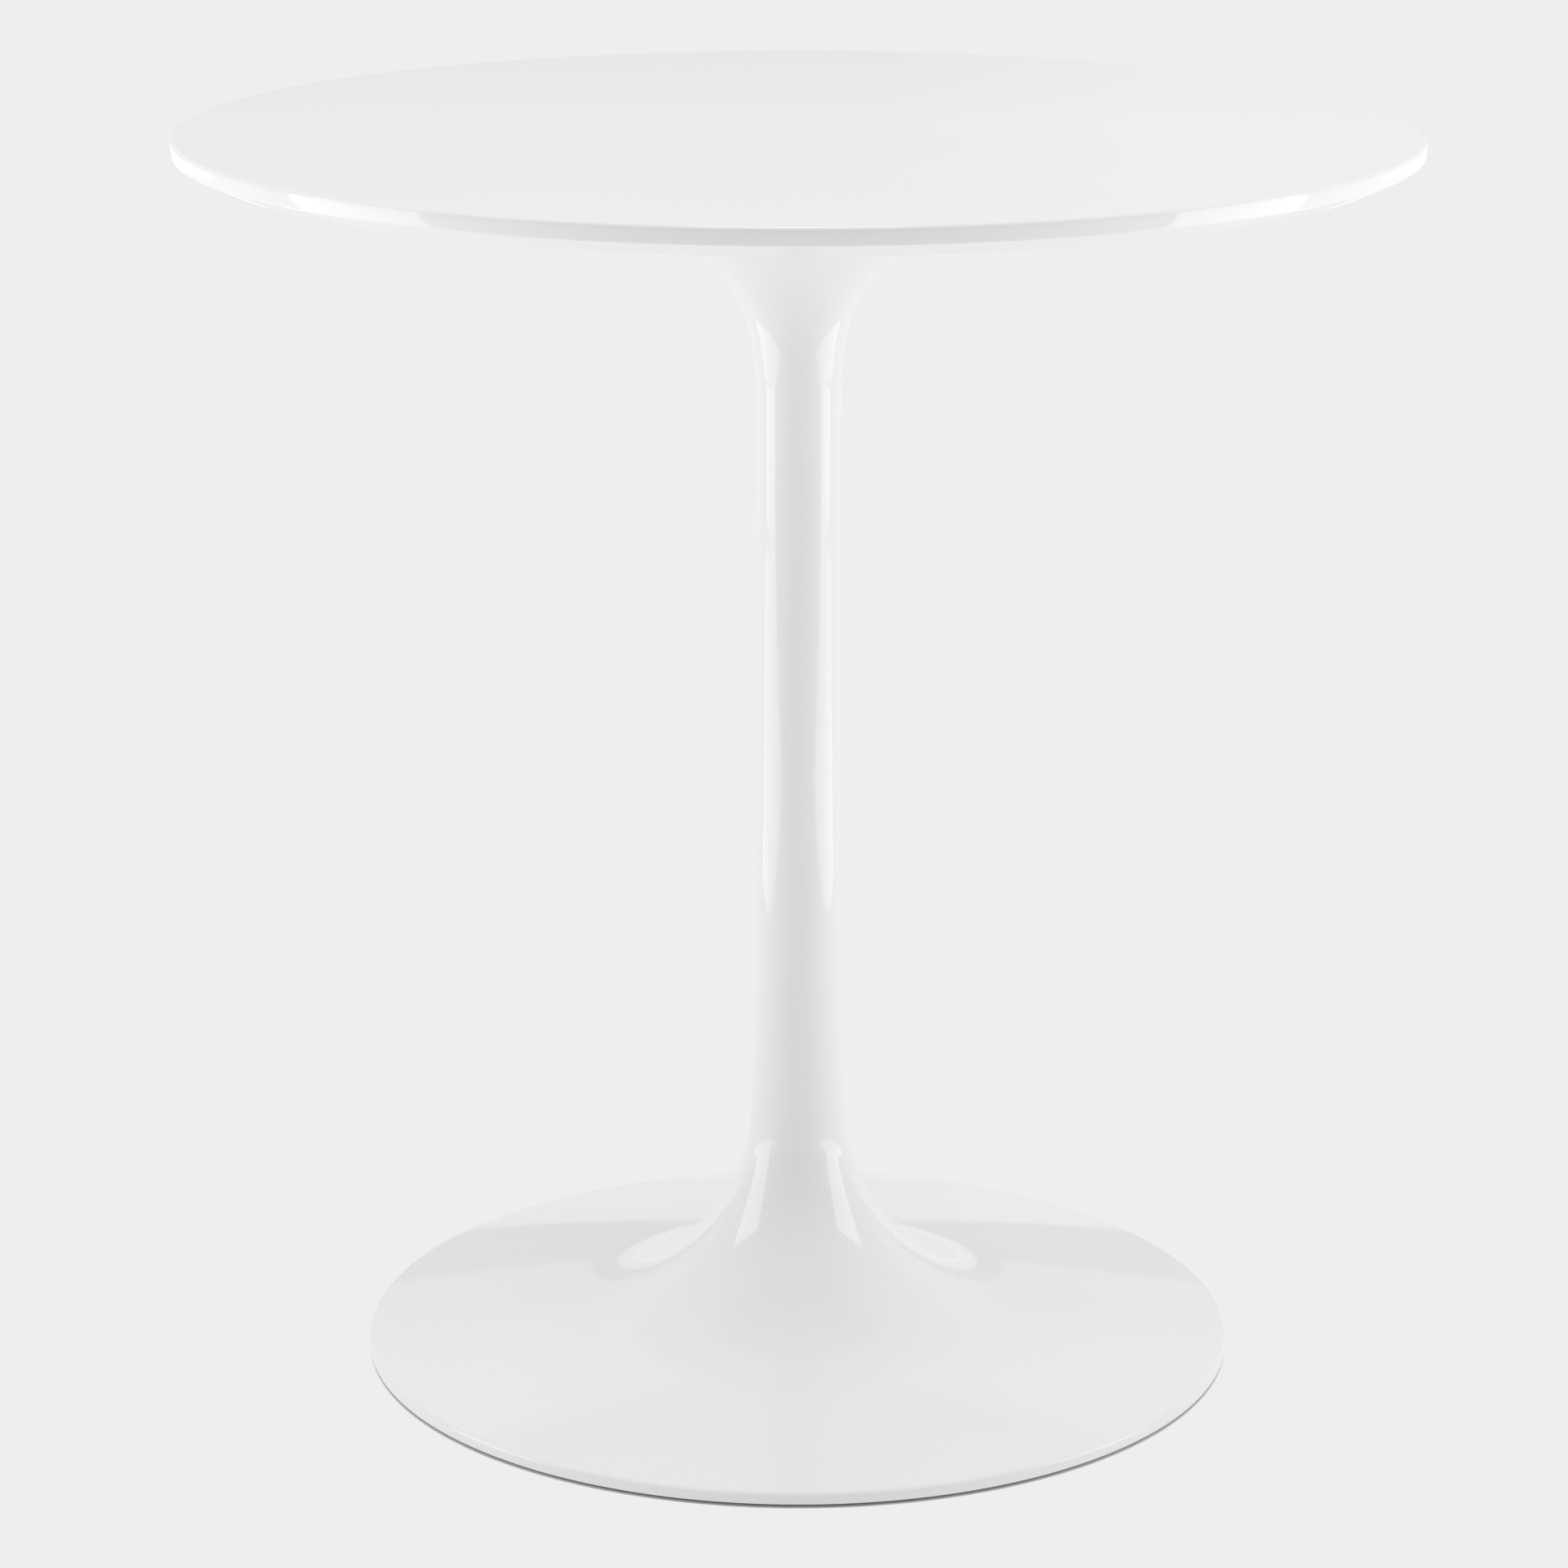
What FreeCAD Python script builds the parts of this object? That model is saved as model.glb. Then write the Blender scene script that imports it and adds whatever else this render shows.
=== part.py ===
# Round pedestal table: a bevelled round board on a hollow trumpet-shaped pedestal.
#
# Frame: millimetres, +Z up, the floor at Z = 0 and the pedestal's axis on Z.
# The board is held by a steel plate. A rod runs from the plate down the column to
# a cast-iron ballast disc in the foot, so that one nut clamps board, pedestal and
# ballast together. Four screw-in glides carry the foot just clear of the floor.
import FreeCAD, Part
import math
import os
import Sketcher

doc = FreeCAD.newDocument("RoundPedestalTable")

# ---------------------------------------------------------------- driving sizes
SIZES = [
    # the whole table
    ("table_height", 736.6, "floor to the top face"),
    ("top_diameter", 711.2, "board, across its widest"),
    ("base_diameter", 520.7, "foot of the pedestal, across the rim"),
    # board
    ("top_thickness", 18.0, "board"),
    ("edge_height", 9.8, "upright band of the edge"),
    ("edge_crown", 0.4, "how far the band bulges"),
    ("bevel_width", 19.0, "bevel under the edge, measured inwards"),
    ("edge_upper_round", 2.0, "round between the top face and the band"),
    ("edge_lower_round", 1.0, "round between the band and the bevel"),
    # pedestal casting
    ("column_diameter", 49.6, "slim part of the column"),
    ("shell_wall", 4.5, "thickness of the casting"),
    ("foot_neck_bend", 1490.0, "radius where the column starts to spread"),
    ("foot_neck_angle", 3.94, "angle where the neck meets the bell"),
    ("foot_bell_bend", 126.2, "radius of the bell above the dish"),
    ("dish_slope", 7.11, "fall of the dish towards the rim"),
    ("rim_height", 9.2, "floor to the upper corner of the rim"),
    ("rim_gap", 2.2, "floor to the underside of the rim"),
    ("rim_width", 5.0, "thickness of the rim's skirt"),
    ("rim_upper_round", 3.0, "round on the rim's upper corner"),
    ("rim_lower_round", 0.8, "round on the rim's lower corner"),
    ("head_neck_bend", 231.0, "radius where the column opens below the board"),
    ("head_neck_angle", 7.8, "angle where the neck meets the throat"),
    ("head_throat_bend", 85.5, "radius of the throat"),
    ("head_throat_angle", 46.4, "angle where the throat meets the horn"),
    ("head_horn_bend", 500.0, "radius of the horn up to the lip"),
    ("head_lip_angle", 56.7, "angle of the horn at the lip"),
    ("lip_land", 1.0, "upright face around the lip"),
    # between pedestal and board
    ("gasket_thickness", 1.0, "ring under the board"),
    ("gasket_inset", 1.0, "lip edge to the ring's edge"),
    ("plate_thickness", 5.0, "mounting plate"),
    ("plate_clearance", 3.6, "plate rim to the inside of the horn"),
    ("bolt_inset", 21.0, "plate rim to the bolt circle"),
    ("bolt_count", 6.0, "bolts, washers and inserts"),
    # hardware of the plate
    ("bolt_diameter", 6.0, "bolt thread"),
    ("bolt_length", 16.0, "below the bolt's head"),
    ("bolt_head_flats", 10.0, "hexagon head"),
    ("bolt_head_height", 4.0, "hexagon head"),
    ("bolt_washer_diameter", 12.0, "flat washer"),
    ("bolt_washer_thickness", 1.6, "flat washer"),
    ("bolt_spring_diameter", 10.6, "spring washer"),
    ("bolt_spring_thickness", 1.5, "spring washer"),
    ("insert_diameter", 9.0, "threaded insert"),
    ("insert_length", 12.0, "threaded insert"),
    ("insert_hole_spare", 1.0, "depth of the board's hole past the insert"),
    # rod and its nuts
    ("rod_diameter", 12.0, "tie rod thread"),
    ("rod_shank_diameter", 10.8, "plain middle of the rod"),
    ("rod_thread_length", 60.0, "each end of the rod"),
    ("coupling_flats", 19.0, "all hexagons on the rod"),
    ("coupling_length", 30.0, "long nut under the plate"),
    ("jam_nut_height", 6.0, "locks the rod in the long nut"),
    ("rod_nut_height", 10.8, "below the ballast"),
    ("rod_top_gap", 1.0, "rod end to the top of the long nut"),
    ("rod_washer_diameter", 37.0, "flat washer under the ballast"),
    ("rod_washer_thickness", 3.0, "flat washer under the ballast"),
    ("rod_spring_diameter", 21.0, "spring washer on the rod"),
    ("rod_spring_thickness", 2.6, "spring washer on the rod"),
    ("rod_end_spare", 1.5, "rod past the face of its nut"),
    # ballast
    ("ballast_gap", 38.0, "ballast edge to the glide bosses"),
    ("ballast_head_room", 1.5, "ballast edge to the dish above it"),
    ("ballast_thickness", 13.0, "disc"),
    ("ballast_hub_diameter", 64.0, "hub around the rod"),
    ("ballast_web", 13.0, "hub above the washers"),
    ("recess_diameter", 46.0, "recess for the nut and its washers"),
    ("recess_cover", 0.5, "rod end to the ballast's underside"),
    ("ballast_round", 2.0, "edges of the disc"),
    ("seat_inset", 14.0, "ballast edge to the seat ring in the casting"),
    ("seat_width", 12.0, "seat ring"),
    # glides
    ("glide_inset", 70.0, "rim to the glide centres"),
    ("glide_boss_diameter", 24.0, "boss inside the casting"),
    ("glide_roof", 3.2, "metal left above the glide's hole"),
    ("glide_rise", 2.0, "travel upwards from here"),
    ("glide_play", 0.3, "pad to boss, screwed right in"),
    ("pad_diameter", 28.0, "nylon pad"),
    ("pad_thickness", 4.0, "nylon pad"),
    ("pad_edge", 0.8, "chamfers of the pad"),
    ("pad_floor", 1.0, "nylon under the screw's foot"),
    ("pad_key_hole", 6.0, "opening for the hexagon key"),
    ("stud_diameter", 8.0, "glide screw thread"),
    ("stud_foot_diameter", 12.6, "disc on the screw's end, held by the pad"),
    ("stud_foot_thickness", 1.8, "disc on the screw's end"),
    ("stud_key_flats", 4.0, "hexagon socket"),
    ("stud_key_depth", 5.0, "hexagon socket"),
    # fits
    ("thread_fit", 0.1, "gap all round a screw in its thread"),
    ("hole_fit", 0.5, "gap all round a screw in a plain hole"),
    ("press_fit", 0.05, "gap all round an insert in the board"),
    ("turn_fit", 0.2, "gap around the screw's foot in the pad"),
    ("edge_break", 0.6, "small chamfers on the hardware"),
]

# ------------------------------------- places that follow from the driving sizes
LAYOUT = [
    ("top_radius", "Sizes.top_diameter / 2"),
    ("base_radius", "Sizes.base_diameter / 2"),
    ("column_radius", "Sizes.column_diameter / 2"),
    ("top_underside", "Sizes.table_height - Sizes.top_thickness"),
    ("band_bottom", "Sizes.table_height - Sizes.edge_height"),
    ("band_radius", "top_radius - Sizes.edge_crown"),
    ("band_bend", "(Sizes.edge_height ^ 2 / 4 + Sizes.edge_crown ^ 2) / (2 * Sizes.edge_crown)"),
    ("band_centre_radius", "top_radius - band_bend"),
    ("band_centre_height", "Sizes.table_height - Sizes.edge_height / 2"),
    # foot of the pedestal, from the column down to the rim
    ("foot_neck_centre", "column_radius + Sizes.foot_neck_bend"),
    ("foot_bell_centre", "foot_neck_centre"
        " - (Sizes.foot_neck_bend - Sizes.foot_bell_bend) * cos(Sizes.foot_neck_angle)"),
    ("dish_start", "foot_bell_centre - Sizes.foot_bell_bend * sin(Sizes.dish_slope)"),
    ("dish_start_height", "Sizes.rim_height + (base_radius - dish_start) * tan(Sizes.dish_slope)"),
    ("foot_bell_level", "dish_start_height + Sizes.foot_bell_bend * cos(Sizes.dish_slope)"),
    ("foot_neck_level", "foot_bell_level"
        " + (Sizes.foot_neck_bend - Sizes.foot_bell_bend) * sin(Sizes.foot_neck_angle)"),
    ("rim_inside", "base_radius - Sizes.rim_width"),
    ("dish_underside_drop", "Sizes.shell_wall / cos(Sizes.dish_slope)"),
    # head of the pedestal, from the lip down to the column
    ("lip_height", "top_underside - Sizes.gasket_thickness"),
    ("head_neck_centre", "column_radius + Sizes.head_neck_bend"),
    ("head_throat_centre", "head_neck_centre"
        " - (Sizes.head_neck_bend - Sizes.head_throat_bend) * cos(Sizes.head_neck_angle)"),
    ("head_horn_centre", "head_throat_centre"
        " + (Sizes.head_horn_bend - Sizes.head_throat_bend) * cos(Sizes.head_throat_angle)"),
    ("head_horn_level", "lip_height - Sizes.lip_land"
        " - Sizes.head_horn_bend * sin(Sizes.head_lip_angle)"),
    ("head_throat_level", "head_horn_level"
        " + (Sizes.head_horn_bend - Sizes.head_throat_bend) * sin(Sizes.head_throat_angle)"),
    ("head_neck_level", "head_throat_level"
        " - (Sizes.head_neck_bend - Sizes.head_throat_bend) * sin(Sizes.head_neck_angle)"),
    ("lip_radius", "head_horn_centre - Sizes.head_horn_bend * cos(Sizes.head_lip_angle)"),
    ("horn_inner_bend", "Sizes.head_horn_bend + Sizes.shell_wall"),
    ("lip_inside", "head_horn_centre"
        " - sqrt(horn_inner_bend ^ 2 - (lip_height - head_horn_level) ^ 2)"),
    # mounting plate and its bolts
    ("plate_underside", "top_underside - Sizes.plate_thickness"),
    ("plate_radius", "head_horn_centre - Sizes.plate_clearance"
        " - sqrt(horn_inner_bend ^ 2 - (plate_underside - head_horn_level) ^ 2)"),
    ("bolt_circle", "plate_radius - Sizes.bolt_inset"),
    ("bolt_washer_bottom", "plate_underside - Sizes.bolt_washer_thickness"),
    ("bolt_head_top", "bolt_washer_bottom - Sizes.bolt_spring_thickness"),
    # glides
    ("glide_circle", "base_radius - Sizes.glide_inset"),
    ("glide_roof_height", "Sizes.rim_height + Sizes.glide_inset * tan(Sizes.dish_slope)"),
    ("glide_boss_bottom", "Sizes.pad_thickness + Sizes.glide_rise + Sizes.glide_play"),
    ("glide_boss_top", "glide_roof_height - dish_underside_drop / 2"),
    ("glide_hole_top", "glide_roof_height - Sizes.glide_roof"),
    ("stud_top", "glide_hole_top - Sizes.glide_rise - Sizes.thread_fit"),
    ("stud_foot_top", "Sizes.pad_floor + Sizes.stud_foot_thickness"),
    # ballast and the lower end of the rod
    ("ballast_radius", "glide_circle - Sizes.glide_boss_diameter / 2 - Sizes.ballast_gap"),
    ("ballast_top", "Sizes.rim_height + (base_radius - ballast_radius) * tan(Sizes.dish_slope)"
        " - dish_underside_drop - Sizes.ballast_head_room"),
    ("ballast_bottom", "ballast_top - Sizes.ballast_thickness"),
    ("seat_outside", "ballast_radius - Sizes.seat_inset"),
    ("seat_inside", "seat_outside - Sizes.seat_width"),
    ("bell_middle_bend", "Sizes.foot_bell_bend + Sizes.shell_wall / 2"),
    ("rod_bottom", "ballast_bottom + Sizes.recess_cover"),
    ("rod_nut_bottom", "rod_bottom + Sizes.rod_end_spare"),
    ("rod_nut_top", "rod_nut_bottom + Sizes.rod_nut_height"),
    ("rod_spring_top", "rod_nut_top + Sizes.rod_spring_thickness"),
    ("recess_top", "rod_spring_top + Sizes.rod_washer_thickness"),
    ("ballast_hub_top", "recess_top + Sizes.ballast_web"),
    # upper end of the rod
    ("coupling_bottom", "plate_underside - Sizes.coupling_length"),
    ("rod_top", "plate_underside - Sizes.rod_top_gap"),
    ("jam_nut_bottom", "coupling_bottom - Sizes.jam_nut_height"),
]

GLIDE_COUNT = 4
GLIDE_FIRST_ANGLE = 45.0


def fill_sheet(name, rows):
    """A spreadsheet with one aliased row for each (alias, content, remark)."""
    sheet = doc.addObject("Spreadsheet::Sheet", name)
    for line, row in enumerate(rows, start=1):
        sheet.set(f"A{line}", row[0])
        sheet.set(f"B{line}", str(row[1]))
        if len(row) > 2:
            sheet.set(f"C{line}", row[2])
        sheet.setAlias(f"B{line}", row[0])
    doc.recompute()
    return sheet


fill_sheet("Sizes", SIZES)
layout = fill_sheet("Layout", [(alias, "=" + formula) for alias, formula in LAYOUT])


def value(expression):
    """The present value of an expression on the two sheets."""
    result = layout.evalExpression(expression)
    return float(getattr(result, "Value", result))


# ------------------------------------------------------------- building helpers
def new_body(label):
    body = doc.addObject("PartDesign::Body", label)
    body.Label = label
    body.AllowCompound = True
    return body


def origin_part(body, role):
    return next(part for part in body.Origin.OriginFeatures if part.Role == role)


def new_sketch(body, name, plane="XZ_Plane", level=None):
    """A sketch on one of the body's own planes, raised to a level along Z if given."""
    sketch = body.newObject("Sketcher::SketchObject", name)
    sketch.AttachmentSupport = [(origin_part(body, plane), "")]
    sketch.MapMode = "FlatFace"
    if level is not None:
        sketch.setExpression("AttachmentOffset.Base.z", level)
    return sketch


def bind(sketch, constraint, expression):
    """Adds a dimension and ties it to the sheets."""
    index = sketch.addConstraint(Sketcher.Constraint(*constraint, value(expression)))
    sketch.setExpression(f"Constraints[{index}]", expression)


def profile(body, name, corners):
    """A closed half section in the XZ plane, X being the distance from the axis.

    Each corner is (radius, height) or, where an arc leads from it to the next
    corner, (radius, height, arc centre radius, arc centre height). All are
    expressions; a radius of "0" lies on the axis.
    """
    sketch = new_sketch(body, name)
    points = [FreeCAD.Vector(value(c[0]), value(c[1]), 0) for c in corners]
    ends = []
    for index, corner in enumerate(corners):
        start, end = points[index], points[(index + 1) % len(points)]
        if len(corner) == 2:
            geometry = sketch.addGeometry(Part.LineSegment(start, end), False)
            ends.append((geometry, 1, 2))
            continue
        centre = FreeCAD.Vector(value(corner[2]), value(corner[3]), 0)
        circle = Part.Circle(centre, FreeCAD.Vector(0, 0, 1), (start - centre).Length)
        turns_left = (start - centre).cross(end - centre).z > 0
        first, last = (start, end) if turns_left else (end, start)
        arc = Part.ArcOfCircle(circle, circle.parameter(first), circle.parameter(last))
        geometry = sketch.addGeometry(arc, False)
        ends.append((geometry, 1, 2) if turns_left else (geometry, 2, 1))
        bind(sketch, ("DistanceX", -1, 1, geometry, 3), corner[2])
    for index, (geometry, first, last) in enumerate(ends):
        following, next_first, _ = ends[(index + 1) % len(ends)]
        sketch.addConstraint(Sketcher.Constraint("Coincident", geometry, last, following, next_first))
        if corners[index][0] == "0":
            sketch.addConstraint(Sketcher.Constraint("PointOnObject", geometry, first, -2))
        else:
            bind(sketch, ("DistanceX", -1, 1, geometry, first), corners[index][0])
        bind(sketch, ("DistanceY", -1, 1, geometry, first), corners[index][1])
    return sketch


def revolve(body, sketch, kind="Revolution"):
    """Turns a profile once round the Z axis; kind is Revolution or Groove."""
    feature = body.newObject(f"PartDesign::{kind}", f"{sketch.Name}_turned")
    feature.Profile = sketch
    feature.ReferenceAxis = (sketch, ["V_Axis"])
    feature.Angle = 360
    sketch.Visibility = False
    doc.recompute()
    return feature


def circle_sketch(body, name, level, diameter, offset="0", angle=None):
    """A circle on a horizontal plane, on the axis or at an offset from it."""
    sketch = new_sketch(body, name, "XY_Plane", level)
    turn = math.radians(angle or 0)
    reach = value(offset)
    centre = FreeCAD.Vector(reach * math.cos(turn), reach * math.sin(turn), 0)
    circle = Part.Circle(centre, FreeCAD.Vector(0, 0, 1), value(diameter) / 2)
    index = sketch.addGeometry(circle, False)
    bind(sketch, ("Diameter", index), diameter)
    if offset == "0":
        sketch.addConstraint(Sketcher.Constraint("Coincident", index, 3, -1, 1))
    else:
        bind(sketch, ("DistanceX", -1, 1, index, 3), f"{offset} * cos({angle or 0})")
        if angle:
            bind(sketch, ("DistanceY", -1, 1, index, 3), f"{offset} * sin({angle})")
        else:
            sketch.addConstraint(Sketcher.Constraint("PointOnObject", index, 3, -1))
    return sketch


def hexagon_sketch(body, name, level, flats, offset="0"):
    """A regular hexagon by its width across flats, two flats facing along Y."""
    sketch = new_sketch(body, name, "XY_Plane", level)
    reach = value(offset)
    corner = value(flats) / math.sqrt(3)
    centre = FreeCAD.Vector(reach, 0, 0)
    turns = [math.radians(60 * side) for side in range(6)]
    points = [centre + FreeCAD.Vector(corner * math.cos(a), corner * math.sin(a), 0) for a in turns]
    sides = [Part.LineSegment(points[side], points[(side + 1) % 6]) for side in range(6)]
    sketch.addGeometry(sides, False)
    ring = sketch.addGeometry(Part.Circle(centre, FreeCAD.Vector(0, 0, 1), corner), True)
    for side in range(6):
        sketch.addConstraint(Sketcher.Constraint("Coincident", side, 2, (side + 1) % 6, 1))
        sketch.addConstraint(Sketcher.Constraint("PointOnObject", side, 1, ring))
        if side:
            sketch.addConstraint(Sketcher.Constraint("Equal", 0, side))
    sketch.addConstraint(Sketcher.Constraint("PointOnObject", 0, 1, -1))
    bind(sketch, ("Diameter", ring), f"{flats} * 2 / sqrt(3)")
    if offset == "0":
        sketch.addConstraint(Sketcher.Constraint("Coincident", ring, 3, -1, 1))
    else:
        bind(sketch, ("DistanceX", -1, 1, ring, 3), offset)
        sketch.addConstraint(Sketcher.Constraint("PointOnObject", ring, 3, -1))
    return sketch


def pad(body, sketch, height):
    feature = body.newObject("PartDesign::Pad", f"{sketch.Name}_pad")
    feature.Profile = sketch
    feature.setExpression("Length", height)
    sketch.Visibility = False
    doc.recompute()
    return feature


def pocket(body, sketch, depth):
    """Cuts upwards from the sketch, and makes sure that metal really went."""
    before = body.Shape.Volume
    feature = body.newObject("PartDesign::Pocket", f"{sketch.Name}_pocket")
    feature.Profile = sketch
    feature.Reversed = True
    feature.setExpression("Length", depth)
    sketch.Visibility = False
    doc.recompute()
    if not body.Shape.Volume < before:
        raise RuntimeError(f"{sketch.Name} cuts nothing")
    return feature


def around(body, feature, count):
    """Repeats a feature round the Z axis; count is an expression."""
    pattern = body.newObject("PartDesign::PolarPattern", f"{feature.Name}_around")
    pattern.Originals = [feature]
    pattern.Axis = (origin_part(body, "Z_Axis"), [""])
    pattern.Angle = 360
    pattern.setExpression("Occurrences", count)
    body.Tip = pattern
    doc.recompute()
    return pattern


def circles_at(shape, radius, level):
    """Names of the circular edges round the Z axis with this radius and height."""
    names = []
    for index, edge in enumerate(shape.Edges, start=1):
        curve = edge.Curve
        if not isinstance(curve, Part.Circle):
            continue
        if abs(curve.Radius - radius) < 0.01 and abs(curve.Center.z - level) < 0.01:
            names.append(f"Edge{index}")
    if not names:
        raise RuntimeError(f"no circle of radius {radius} at height {level}")
    return names


def fillet(body, places, radius):
    """Rounds the circular edges at (radius, height) places of the body's tip."""
    tip = body.Tip
    names = [name for place in places for name in circles_at(tip.Shape, *map(value, place))]
    feature = body.newObject("PartDesign::Fillet", f"{body.Name}_round")
    feature.Base = (tip, names)
    feature.setExpression("Radius", radius)
    doc.recompute()
    return feature


def ring_corners(inside, outside, bottom, top, edge=None):
    """Section of a ring or disc, with both outer edges chamfered where edge is given."""
    if edge is None:
        return [(inside, bottom), (outside, bottom), (outside, top), (inside, top)]
    return [
        (inside, bottom), (f"{outside} - {edge}", bottom), (outside, f"{bottom} + {edge}"),
        (outside, f"{top} - {edge}"), (f"{outside} - {edge}", top), (inside, top),
    ]


def ring(label, inside, outside, bottom, top, edge=None):
    body = new_body(label)
    revolve(body, profile(body, f"{label}_section", ring_corners(inside, outside, bottom, top, edge)))
    return body


def offset_ring(label, hole, diameter, bottom, thickness):
    """Plain washers or bushes standing on the bolt circle, one for each bolt."""
    body = new_body(label)
    outer = circle_sketch(body, f"{label}_outline", bottom, diameter, "Layout.bolt_circle")
    first = pad(body, outer, thickness)
    around(body, first, "Sizes.bolt_count")
    inner = circle_sketch(body, f"{label}_bore", bottom, hole, "Layout.bolt_circle")
    cut = pocket(body, inner, thickness)
    around(body, cut, "Sizes.bolt_count")
    return body


def hexagon_nut(label, flats, thread, bottom, height):
    """A hexagon nut with its corners turned off at 30 degrees and a chamfered bore."""
    body = new_body(label)
    pad(body, hexagon_sketch(body, f"{label}_hexagon", bottom, flats), height)
    corner = f"({flats} / sqrt(3) + 1)"
    chamfer_depth = f"(({corner} - {flats} * 0.475) * tan(30))"
    top = f"({bottom} + {height})"
    for end, level, sign in (("lower", bottom, "+"), ("upper", top, "-")):
        corners = [
            (f"{flats} * 0.475", level),
            (corner, level),
            (corner, f"{level} {sign} {chamfer_depth}"),
        ]
        revolve(body, profile(body, f"{label}_{end}_corners", corners), "Groove")
    bore = f"({thread} / 2 + Sizes.thread_fit)"
    pocket(body, circle_sketch(body, f"{label}_bore", bottom, f"{bore} * 2"), height)
    for end, level, sign in (("lower", bottom, "+"), ("upper", top, "-")):
        corners = [
            (f"{bore} - 0.1", level),
            (f"{bore} + Sizes.edge_break", level),
            (f"{bore} - 0.1", f"{level} {sign} (Sizes.edge_break + 0.1)"),
        ]
        revolve(body, profile(body, f"{label}_{end}_lead_in", corners), "Groove")
    return body


# --------------------------------------------------------------------- the board
table_top = new_body("table_top")
revolve(table_top, profile(table_top, "board_section", [
    ("0", "Layout.top_underside"),
    ("Layout.top_radius - Sizes.bevel_width", "Layout.top_underside"),
    ("Layout.band_radius", "Layout.band_bottom", "Layout.band_centre_radius", "Layout.band_centre_height"),
    ("Layout.band_radius", "Sizes.table_height"),
    ("0", "Sizes.table_height"),
]))
fillet(table_top, [("Layout.band_radius", "Sizes.table_height")], "Sizes.edge_upper_round")
fillet(table_top, [("Layout.band_radius", "Layout.band_bottom")], "Sizes.edge_lower_round")
insert_hole = circle_sketch(table_top, "insert_hole", "Layout.top_underside",
                            "Sizes.insert_diameter + 2 * Sizes.press_fit", "Layout.bolt_circle")
first_hole = pocket(table_top, insert_hole, "Sizes.insert_length + Sizes.insert_hole_spare")
around(table_top, first_hole, "Sizes.bolt_count")

# ---------------------------------------------------------- the pedestal casting
NECK = ("Layout.foot_neck_centre", "Layout.foot_neck_level")
BELL = ("Layout.foot_bell_centre", "Layout.foot_bell_level")
HEAD_NECK = ("Layout.head_neck_centre", "Layout.head_neck_level")
THROAT = ("Layout.head_throat_centre", "Layout.head_throat_level")
HORN = ("Layout.head_horn_centre", "Layout.head_horn_level")


def on_arc(centre, bend, angle, side, wall=""):
    """The point of a bend where the surface leans by angle; side is -1 below the bend's
    centre, as in the foot, and +1 above it, as in the head."""
    sign = "+" if side > 0 else "-"
    reach = f"({bend}{wall})"
    return (f"{centre[0]} - {reach} * cos({angle})", f"{centre[1]} {sign} {reach} * sin({angle})")


def shell_side(wall):
    """The corners of one face of the wall, from the rim's corner up to the lip's corner."""
    return {
        "dish": on_arc(BELL, "Sizes.foot_bell_bend", "90 - Sizes.dish_slope", -1, wall),
        "bell": on_arc(BELL, "Sizes.foot_bell_bend", "Sizes.foot_neck_angle", -1, wall),
        "neck": on_arc(NECK, "Sizes.foot_neck_bend", "0", -1, wall),
        "head_neck": on_arc(HEAD_NECK, "Sizes.head_neck_bend", "0", 1, wall),
        "throat": on_arc(HEAD_NECK, "Sizes.head_neck_bend", "Sizes.head_neck_angle", 1, wall),
        "horn": on_arc(THROAT, "Sizes.head_throat_bend", "Sizes.head_throat_angle", 1, wall),
    }


outer = shell_side("")
inner = shell_side(" + Sizes.shell_wall")
pedestal_shell = new_body("pedestal_shell")
revolve(pedestal_shell, profile(pedestal_shell, "shell_section", [
    ("Layout.base_radius", "Sizes.rim_gap"),
    ("Layout.base_radius", "Sizes.rim_height"),
    outer["dish"] + BELL,
    outer["bell"] + NECK,
    outer["neck"],
    outer["head_neck"] + HEAD_NECK,
    outer["throat"] + THROAT,
    outer["horn"] + HORN,
    ("Layout.lip_radius", "Layout.lip_height - Sizes.lip_land"),
    ("Layout.lip_radius", "Layout.lip_height"),
    ("Layout.lip_inside", "Layout.lip_height") + HORN,
    inner["horn"] + THROAT,
    inner["throat"] + HEAD_NECK,
    inner["head_neck"],
    inner["neck"] + NECK,
    inner["bell"] + BELL,
    inner["dish"],
    ("Layout.rim_inside", "Sizes.rim_height + Sizes.rim_width * tan(Sizes.dish_slope)"
        " - Layout.dish_underside_drop"),
    ("Layout.rim_inside", "Sizes.rim_gap"),
]))
fillet(pedestal_shell, [("Layout.base_radius", "Sizes.rim_height")], "Sizes.rim_upper_round")
fillet(pedestal_shell, [("Layout.base_radius", "Sizes.rim_gap")], "Sizes.rim_lower_round")


def inside_wall(radius):
    """Height of the middle of the wall above a radius under the dish or the bell."""
    if value(radius) > value("Layout.dish_start"):
        return (f"Sizes.rim_height + (Layout.base_radius - {radius}) * tan(Sizes.dish_slope)"
                " - Layout.dish_underside_drop / 2")
    return (f"Layout.foot_bell_level"
            f" - sqrt(Layout.bell_middle_bend ^ 2 - (Layout.foot_bell_centre - {radius}) ^ 2)")


revolve(pedestal_shell, profile(pedestal_shell, "seat_ring", [
    ("Layout.seat_inside", "Layout.ballast_top"),
    ("Layout.seat_outside", "Layout.ballast_top"),
    ("Layout.seat_outside", inside_wall("Layout.seat_outside")),
    ("Layout.seat_inside", inside_wall("Layout.seat_inside")),
]))
boss = circle_sketch(pedestal_shell, "glide_boss", "Layout.glide_boss_bottom",
                     "Sizes.glide_boss_diameter", "Layout.glide_circle", GLIDE_FIRST_ANGLE)
around(pedestal_shell, pad(pedestal_shell, boss, "Layout.glide_boss_top - Layout.glide_boss_bottom"),
       str(GLIDE_COUNT))
tapping = circle_sketch(pedestal_shell, "glide_tapping", "Layout.glide_boss_bottom",
                        "Sizes.stud_diameter + 2 * Sizes.thread_fit", "Layout.glide_circle",
                        GLIDE_FIRST_ANGLE)
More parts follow.
